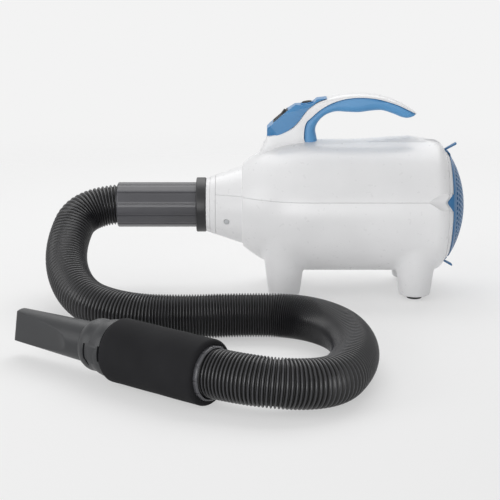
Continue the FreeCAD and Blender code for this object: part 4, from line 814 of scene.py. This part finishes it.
# The white frame of the handle from its tip to the foot's front, in side view: the outer edge, the
# inner edge, half the width, and the reach of the rounding across and down.
FRAME_ROWS = [
    (269.4, 119.6, 268.9, 119.1, 6, 5.5, 0.3),
    (266.6, 122.3, 265.6, 121.3, 11, 10.5, 0.8),
    (260.6, 126.3, 259.2, 124.6, 13, 12.5, 1.5),
    (246, 134.9, 244.2, 131.7, 14, 13.5, 3),
    (231, 140.6, 229.5, 136.5, 14, 13.5, 4),
    (216, 144.1, 214.9, 139.9, 14, 13.5, 4.1),
    (196, 145.5, 195.5, 141.2, 14, 13.5, 4.2),
    (176, 144.3, 176.9, 139.3, 14, 12, 4.4),
    (159, 140.7, 161.1, 134.3, 14, 8, 4),
    (143.5, 135.2, 146.7, 126.2, 14, 3, 2.4),
    (132, 128.2, 135.8, 116.7, 14, 2, 1.6),
    (124.2, 119, 128.7, 109.9, 14, 2, 1.6),
    (117.7, 110, 126, 101.5, 14, 1.6, 1.4),
    (111.2, 103.3, 125.3, 90, 14, 1.6, 1.4),
    (104.6, 99.2, 125.3, 80.4, 14, 1.6, 1.4),
    (95.8, 95.6, 104, 76.5, 14, 1.6, 1.4),
    (86.5, 93, 84.5, 70, 14, 1.6, 1.4),
    (80.8, 91.7, 72.8, 65.5, 13.4, 1.6, 1.4),
    (79, 91.2, 68.5, 63.8, 12, 1.6, 1.4),
    (78.3, 91, 66.5, 63, 9, 1.6, 1.4),
]


def frame_section(row):
    """The frame's section at one row: rounded above, with straight sides."""
    outer, inner, half, reach, drop = row[0:2], row[2:4], row[4], row[5], row[6]
    depth = max((Vector(outer) - Vector(inner)).length, 0.1)
    reach, drop = min(reach, half), min(drop, 0.95 * depth)
    corner = [(half - reach + reach * across, drop * down / depth) for across, down in quadrant(7)]
    side = [(half, drop / depth + (1 - drop / depth) * share) for share in (0.5, 0.97)]
    return between(outer, inner, [(0, 0), ((half - reach) / 2, 0), (half - reach, 0)] + corner + side
                   + [(half - 0.5, 1), (half / 2, 1), (0, 1)])


# The blue grip from its foot in the barrel to its tip: the edge under the frame, the palm's edge,
# half the width, and how far down the side its soft crease runs.
GRIP_ROWS = [
    (125.6, 79, 143.6, 79, 12, 0.3),
    (125.6, 90, 141.9, 88.8, 12, 0.3),
    (126.2, 101.3, 140.2, 97.8, 12, 0.34),
    (129.2, 109.4, 141.6, 105, 12, 0.36),
    (136.2, 116.6, 147, 113, 12, 0.36),
    (147, 126, 155.5, 119.2, 12, 0.36),
    (161.4, 134, 166.5, 122.3, 12, 0.4),
    (177, 139, 179.5, 121.7, 12, 0.5),
    (195.5, 140.9, 195.5, 121.2, 12, 0.54),
    (213, 140, 210, 123, 12, 0.32),
    (229, 136.4, 224.5, 123.7, 12, 0.16),
    (244, 131.5, 238, 119.8, 12, 0.16),
    (255.5, 126.2, 249.5, 115.2, 11.6, 0.2),
    (263, 122.2, 257.5, 113.8, 10.4, 0.25),
    (267, 120.1, 264.5, 115.6, 7.5, 0.3),
    (268.4, 119, 267.2, 117.6, 4, 0.3),
]


def grip_section(row):
    """The grip's section at one row: a narrow gap under the frame, a crease, and a round palm."""
    outer, inner, half, crease = row[0:2], row[2:4], row[4], row[5]
    side = [(half - 3.2, 0.055), (half - 1.1, 0.07), (half - 0.5, crease * 0.5), (half, crease)]
    belly = []
    for step in range(1, 10):
        turn = pi / 2 * step / 9
        belly.append((half * cos(turn) ** 0.8 if step < 9 else 0, crease + (1 - crease) * sin(turn) ** 0.8))
    return between(outer, inner, [(0, 0), (half / 2, 0), (half - 3.4, 0)] + side + belly)


# The blue switch housing's outline in side view; the last two arcs follow the frame's sweep.
HOUSING_EDGE = [
    (78.4, 91), (78.4, 102), (86.6, 109.1), (104.7, 124.7), (114.3, 131.4),
    (122.3, 131.4), (136.5, 133.6), (142, 138.8), (154.5, 139.9, 50, 12), (123, 117.7, -56, 14),
]
HOUSING_HALF = 15.5
# A point and the way out of the facets on its near side: the long one over the dial, and the foot's.
SHOULDER_FACET = (107, HOUSING_HALF, 123), (-0.2, 0.68, 0.72)
FOOT_FACET = (82, HOUSING_HALF, 105.5), (-0.56, 0.7, -0.44)
SLOPE_ANGLE = 40.8
ON_SLOPE = tilted((95.6, 0, 116.9), -SLOPE_ANGLE)
ON_DIAL = tilted((129.3, 0, 132.5), -8.8)
# The radii of the dial's opening, its raised ring and its knob, and the waves round the knob.
DIAL_BORE, DIAL_RING, DIAL_KNOB = 6.9, 8.4, 6.3
KNURLS, KNURL_SHARE = 24, 0.045
# The rocker in side view, half its width, its lean at rest and its pin, and the window round it.
ROCKER_EDGE = [(-9.6, 1.4), (-9.6, 4.6), (0, 3.6), (9.6, 4.6), (9.6, 1.4), (5, -2.5), (-5, -2.5)]
ROCKER_HALF, ROCKER_LEAN, ROCKER_PIN = 6.4, 8, (0, 0, -3)
WINDOW_LOW, WINDOW_HIGH = (-10.95, -7.45, -12), (10.95, 7.45, 4)


def sliced(bm, point, normal):
    """Cut off what lies beyond a plane and close the cut."""
    cut = bmesh.ops.bisect_plane(bm, geom=bm.verts[:] + bm.edges[:] + bm.faces[:], plane_co=point,
                                 plane_no=normal, clear_outer=True)["geom_cut"]
    bmesh.ops.contextual_create(bm, geom=among(cut, bmesh.types.BMEdge))
    return bm


def eased(bm, edge, sharper_than=22):
    """Round every edge that turns by more than an angle."""
    sharp = [link for link in bm.edges if link.calc_face_angle(0) > radians(sharper_than)]
    bmesh.ops.bevel(bm, geom=sharp, offset=edge, segments=2, profile=0.5, affect="EDGES", material=-1,
                    clamp_overlap=True)
    return bm


def make_handle():
    """The white band, the blue grip under it, the switch housing, its rocker and its dial."""
    frame_skin = skinned([frame_section(row) for row in way_through(FRAME_ROWS, 6)])
    dressed("handle_frame_band", frame_skin, DRYER, "white_shell", ["handle_frame"], 50)
    grip_skin = skinned([grip_section(row) for row in way_through(GRIP_ROWS, 6)])
    dressed("handle_soft_grip", grip_skin, DRYER, "blue_grip", ["handle_grip"], 40)

    housing = slab(HOUSING_EDGE, -HOUSING_HALF, HOUSING_HALF)
    for side in (-1, 1):
        across = Vector((1, side, 1))
        for point, normal in (SHOULDER_FACET, FOOT_FACET):
            sliced(housing, Vector(point) * across, Vector(normal) * across)
    eased(housing, 0.55)
    window = placed(block(WINDOW_LOW, WINDOW_HIGH), ON_SLOPE)
    surround = lathe([(-1, DIAL_BORE), (-1, DIAL_RING), (1.1, DIAL_RING, -0.5, 4), (1.6, DIAL_RING - 0.5),
                      (1.6, DIAL_BORE)], 96)
    housing = merged(carved(housing, [window]), placed(turned(surround, -90, "Y"), ON_DIAL))
    dressed("switch_housing_shell", housing, DRYER, "blue_housing", ["switch_housing"], 12)

    rocker = eased(slab(ROCKER_EDGE, -ROCKER_HALF, ROCKER_HALF), 0.5, 15)
    placed(rocker, tilted(ON_SLOPE @ Vector(ROCKER_PIN), -SLOPE_ANGLE - ROCKER_LEAN))
    dressed("power_rocker_cap", rocker, DRYER, "black_plastic", ["power_rocker"], 30, "rocker", MATT_BLACK)

    dial = lathe([(0.3, 0), (0.3, DIAL_KNOB), (1.8, DIAL_KNOB, 2), (2.6, 5.5), (2.75, 4.2), (2.85, 0)], 96)
    for vert in dial.verts:
        if hypot(vert.co.y, vert.co.z) > 6:
            turn = atan2(vert.co.z, vert.co.y)
            vert.co.yz = vert.co.yz * (1 + KNURL_SHARE * cos(KNURLS * turn))
    pointer = block((2.4, -0.45, 1.6), (3.05, 0.45, 5.2), 0.15)
    dial = placed(turned(merged(dial, pointer), -90, "Y"), ON_DIAL)
    dressed("speed_dial_knob", dial, DRYER, "black_plastic", ["speed_dial"], 30, "dial", MATT_BLACK)


# A cuff's radius at its corners, its bore, the rounding of its end, its sides and how flat they are.
CUFF_RADIUS, SOCKET_RADIUS, CUFF_EDGE = 29.2, 26.3, 2.2
FLUTES, FLATNESS = 12, 0.85
# Where each cuff's hose end, hidden end and socket end lie along its own axis.
DRYER_CUFF, WAND_CUFF = (-115, -13, -68), (-6, 46, 40)
DRYER_CUFF_TURN = -13
# Across one flute, from the middle of its groove: the turn in degrees and the depth there.
FLUTE_SHAPE = ((0, 1), (1.2, 1), (1.6, 0.2), (2.3, 0), (8.7, 0), (15, 0), (21.3, 0), (27.7, 0),
               (28.4, 0.2), (28.8, 1))


def fluted(hose_end, hidden_end, socket_end):
    """A cuff with twelve nearly flat sides and a groove along each corner, hollow for the hose."""
    sides = FLUTES * len(FLUTE_SHAPE)
    step = tau / FLUTES
    bm = bmesh.new()
    bmesh.ops.create_circle(bm, cap_ends=True, segments=sides, radius=CUFF_RADIUS)
    for vert in bm.verts:
        flute, place = divmod(round(atan2(vert.co.x, vert.co.y) / tau * sides) % sides, len(FLUTE_SHAPE))
        turn, depth = FLUTE_SHAPE[place]
        flat = CUFF_RADIUS * cos(step / 2) / cos(radians(turn) - step / 2)
        away = CUFF_RADIUS + FLATNESS * (flat - CUFF_RADIUS) - depth
        turn = flute * step + radians(turn)
        vert.co = (hidden_end, away * sin(turn), away * cos(turn))
    ring = grown(bm, bm.edges[:], lambda place: Vector((hose_end + CUFF_EDGE, place.y, place.z)))
    drawn = 0
    for number in range(1, 7):
        turn = pi / 2 * number / 6
        along = hose_end + CUFF_EDGE * (1 - sin(turn))
        inward = CUFF_EDGE * (1 - cos(turn)) - drawn
        ring = grown(bm, ring, lambda place: Vector((along, *(
            place.yz.normalized() * max(place.yz.length - inward, SOCKET_RADIUS + 0.3)))))
        drawn += inward
    for along, away in ((hose_end + 0.4, SOCKET_RADIUS), (socket_end, SOCKET_RADIUS)):
        ring = grown(bm, ring, lambda place: Vector((along, *(place.yz.normalized() * away))))
    bmesh.ops.contextual_create(bm, geom=ring)
    return bm


def make_outlet():
    """The white ring on the nose with its raised line, the turning collar and the hose's cuff."""
    ring = lathe([(0, 29.2), (0, 34.3), (0.4, 34.8), (4.9, 36.3), (5.2, 35.7), (5.5, 36.5), (12.1, 38.6),
                  (12.1, 29.2)], 128)
    dressed("nose_outlet_ring", ring, DRYER, "white_shell", ["outlet_ring"], 20)
    collar = lathe([(-12.7, 25), (-12.7, 33.7, -1.6, 6), (-11.1, 35.3), (-1.5, 35.3, -1.2, 5), (-0.3, 34.1),
                    (-0.3, 25)], 128)
    dressed("turning_hose_collar", collar, DRYER, "black_plastic", ["hose_collar"], 30, "collar")
    cuff = turned(fluted(*DRYER_CUFF), DRYER_CUFF_TURN)
    dressed("dryer_hose_cuff", cuff, DRYER, "grey_cuff", ["hose_cuff"])


SLEEVE_BORE = 29.4
SLEEVE_EDGE = [(-2, SLEEVE_BORE), (-2, 31, -4, 6), (2, 35, 40), (119, 35, -4, 6), (123, 31),
               (123, SLEEVE_BORE)]
# How much slimmer the foam is in its soft dents, as a share, and the dents' size.
DENT_SHARE, DENT_SIZE = 0.009, 22
COUPLING_START, COUPLING_END, COUPLING_BORE = 125, 161, 22.7
COUPLING_WAVES = [(125.3, 31.3), (131, 31.2), (136, 30.3), (141, 28.9), (146, 28.5), (150.5, 28.7),
                  (154.5, 28.1), (157.6, 26.8)]
NOZZLE_ROOT, NOZZLE_END, NOZZLE_WALL = 132, 273.5, 2.2
NOZZLE_RADIUS, NOZZLE_TAPER = 22.4, 0.0296
# The nozzle's flats: their start, distance from the axis and slope, and their run-in's height and length.
FLAT_START, FLAT_LEVEL, FLAT_SLOPE, FLAT_LIFT, FLAT_RUN_IN = 182, 19.5, 0.134, 2.9, 9


def nozzle_radius(along):
    """The nozzle's radius before it is pressed flat."""
    return NOZZLE_RADIUS - NOZZLE_TAPER * max(along - COUPLING_END, 0)


def flattened(bm):
    """Press a round spout flat from both sides, with a spoon-shaped run-in, and slant its mouth."""
    for vert in bm.verts:
        along, across, level = vert.co
        depth = nozzle_radius(along) - hypot(across, level)
        run_in = FLAT_LIFT * exp((FLAT_START - 1 - along) / FLAT_RUN_IN)
        flat = FLAT_LEVEL - FLAT_SLOPE * (along - FLAT_START) + run_in
        pressed = -soft_max(-abs(across), depth - flat, 0.7)
        share = max(along - COUPLING_END, 0) / (NOZZLE_END - COUPLING_END)
        vert.co = (along - level / 6 * share ** 2, copysign(pressed, across), level)
    return bm


def make_handpiece():
    """The cuff at the hose, the foam sleeve, the coupling with its catch, and the flat nozzle."""
    dressed("wand_hose_cuff", fluted(*WAND_CUFF), WAND, "grey_cuff", ["wand_cuff"])

    sleeve = lathe(SLEEVE_EDGE, 96)
    for vert in sleeve.verts:
        if vert.co.yz.length > SLEEVE_BORE + 1:
            vert.co.yz = vert.co.yz * (1 - DENT_SHARE * (1 + noise.noise(vert.co / DENT_SIZE)))
    foam = dressed("foam_grip_sleeve", sleeve, WAND, "foam_sleeve", ["grip_sleeve"])

    root = [(COUPLING_START, COUPLING_BORE), (COUPLING_START, 31)]
    lip = [(159.6, 25.9), (160.7, 24.9), (COUPLING_END, 24.2), (COUPLING_END, COUPLING_BORE)]
    coupling = lathe(root + [tuple(row) for row in way_through(COUPLING_WAVES, 4)] + lip, 128)
    track = slab([(147.2, 9.2), (149.4, 9.2), (149.6, -7.5), (147.9, -9.5), (146.3, -15.5), (144.6, -15.5),
                  (145.6, -9), (147.3, -7.2)], 20, 40)
    relief = slab([(124, 10.8), (127, 10.8), (127, -6), (124, -6)], 27, 40)
    catch = slab([(26, -11), (28.9, -11), (30.5, -5), (30.9, 3), (30.4, 8.6), (27.4, 12.4), (25, 12.4)],
                 127.2, 141.6, "X")
    coupling = merged(carved(coupling, [track, relief]), eased(catch, 0.5))
    dressed("nozzle_lock_coupling", coupling, WAND, "nozzle_grey", ["nozzle_coupling"], 30)

    tip = nozzle_radius(NOZZLE_END)
    spout = lathe([(NOZZLE_ROOT, NOZZLE_RADIUS - NOZZLE_WALL), (NOZZLE_ROOT, NOZZLE_RADIUS),
                   (COUPLING_END, NOZZLE_RADIUS, 64), (NOZZLE_END - 0.7, tip),
                   (NOZZLE_END, tip - 0.6), (NOZZLE_END, tip - NOZZLE_WALL + 0.6),
                   (NOZZLE_END - 0.7, tip - NOZZLE_WALL, 40),
                   (COUPLING_END, NOZZLE_RADIUS - NOZZLE_WALL)], 192)
    dressed("flat_air_nozzle", flattened(spout), WAND, "nozzle_grey", ["flat_nozzle"], 45, "nozzle")


DOME_APEX, DOME_RADIUS, DOME_WALL = 333, 124.9, 1.8
# Rings of holes: the outermost radius, their number and step, the holes' pitch, half a strip, a frame.
HOLE_RING, HOLE_RINGS, RING_STEP, HOLE_PITCH, STRIP_HALF, HOLE_FRAME = 59.5, 10, 6, 6.3, 2.6, 0.8
# A flare and a pull tab: side view, half the width, half of it at the root, and the way of its flanks.
FLARE_EDGE = [(303.9, 70.4), (303.9, 73.4), (308.4, 72.3), (312.4, 69.9), (313.4, 68.2), (313.4, 64),
              (312.2, 64), (312.2, 67.4), (309.4, 70.4)]
FLARE_HALF, FLARE_ROOT_HALF, FLARE_WAY = 11.3, 1.2, (-0.807, 0.59, 0)
TAB_EDGE = [(306.8, 72.4), (306.8, 73.7), (320.4, 81.6), (321.6, 81.6), (321.9, 80.4), (321.2, 79.2),
            (310, 73)]
TAB_HALF, TAB_ROOT_HALF, TAB_WAY = 3.4, 2.2, (-0.08, 1, 0)


def perforated_dome():
    """Rings of cells round the middle, each with a hole, joined to each other and lifted to a dome."""
    bm = bmesh.new()
    rings = [HOLE_RING - RING_STEP * number for number in range(HOLE_RINGS)]
    for away in rings:
        ends = [bm.verts.new((0, 0, away - STRIP_HALF)), bm.verts.new((0, 0, away + STRIP_HALF))]
        spun(bm, round(tau * away / HOLE_PITCH), ends + [bm.edges.new(ends)])
    cells = bm.faces[:]
    bmesh.ops.inset_individual(bm, faces=cells, thickness=HOLE_FRAME, use_even_offset=True)
    bmesh.ops.delete(bm, geom=cells, context="FACES_ONLY")

    def loop(away):
        return [edge for edge in bm.edges if all(abs(end.co.length - away) < 0.1 for end in edge.verts)]

    for outer, inner in zip(rings, rings[1:]):
        bmesh.ops.bridge_loops(bm, edges=loop(outer - STRIP_HALF) + loop(inner + STRIP_HALF))
    middle = bmesh.ops.contextual_create(bm, geom=loop(rings[-1] - STRIP_HALF))["faces"]
    bmesh.ops.poke(bm, faces=middle)
    edge = loop(HOLE_RING + STRIP_HALF)
    for away in (64.2, 66.3):
        edge = grown(bm, edge, lambda place: place.normalized() * away)
    for vert in bm.verts:
        vert.co.x = DOME_APEX - DOME_RADIUS + sqrt(DOME_RADIUS ** 2 - vert.co.length_squared)
    bmesh.ops.recalc_face_normals(bm, faces=bm.faces)
    if bm.faces[0].normal.x < 0:
        bmesh.ops.reverse_faces(bm, faces=bm.faces)
    bmesh.ops.solidify(bm, geom=bm.faces[:], thickness=DOME_WALL)
    return subdivided(bm)


def make_cover():
    """The pull-off intake cover: dome, rim and spigot, a flare in each notch and two pull tabs."""
    rim = lathe([(305, 59.6), (305, 61.5), (312.2, 61.5), (312.2, 67.2), (313.2, 67.2), (313.7, 66.6),
                 (314.8, 64), (312.9, 60.2)], 160)
    parts = [perforated_dome(), rim]
    for edge, half, root_half, way, easing, turns in (
        (FLARE_EDGE, FLARE_HALF, FLARE_ROOT_HALF, FLARE_WAY, 0.35, NOTCH_TURNS),
        (TAB_EDGE, TAB_HALF, TAB_ROOT_HALF, TAB_WAY, 0.4, (0, 180)),
    ):
        for turn in turns:
            tongue = slab(edge, -half, half)
            for side in (-1, 1):
                sliced(tongue, (edge[0][0], root_half * side, 0), (way[0], way[1] * side, 0))
            parts.append(turned(eased(tongue, easing), turn))
    dressed("pull_off_intake_cover", merged(*parts), DRYER, "blue_cover", ["filter_cover"], 30, "cover")


PAD_DEPTH = 5
# The cord gland: its place along the barrel, its turn from the top, and its nut.
GLAND_X, GLAND_TURN, NUT_RADIUS = 200, 235, 11


def make_underside():
    """The four rubber feet, and the gland where the mains cord enters on the far side."""
    pads = []
    for x, side in LEG_PLACES:
        pad = lathe([(0, 4.4), (0, 8.9, -0.9, 4), (0.9, 9.8), (PAD_DEPTH, 9.8), (PAD_DEPTH, 0), (2.6, 0),
                     (2.6, 4.1)], 48)
        pads.append(placed(turned(pad, -90, "Y"), Matrix.Translation((x, side, LEG_FOOT - PAD_DEPTH))))
    dressed("rubber_foot_pads", merged(*pads), DRYER, "black_rubber", ["foot_pads"], 30)

    turns = [corner * tau / 6 for corner in range(6)]
    nut = slab([(NUT_RADIUS * cos(turn), NUT_RADIUS * sin(turn)) for turn in turns], 85.3, 91, "X")
    sleeve = lathe([(84, 4), (84, 8), (93, 8), (94, 7.4), (98.4, 6.9, -1.6, 4), (100, 5.4), (100, 4)], 48)
    gland = merged(eased(nut, 0.7, 25), sleeve)
    placed(turned(turned(gland, -90, "Y"), GLAND_TURN), Matrix.Translation((GLAND_X, 0, 0)))
    dressed("mains_cord_gland", gland, DRYER, "black_plastic", ["cord_gland"], 30)


sight()
dress_nodes()
make_hose()
make_shells()
make_handle()
make_outlet()
make_handpiece()
make_cover()
make_underside()
studio()
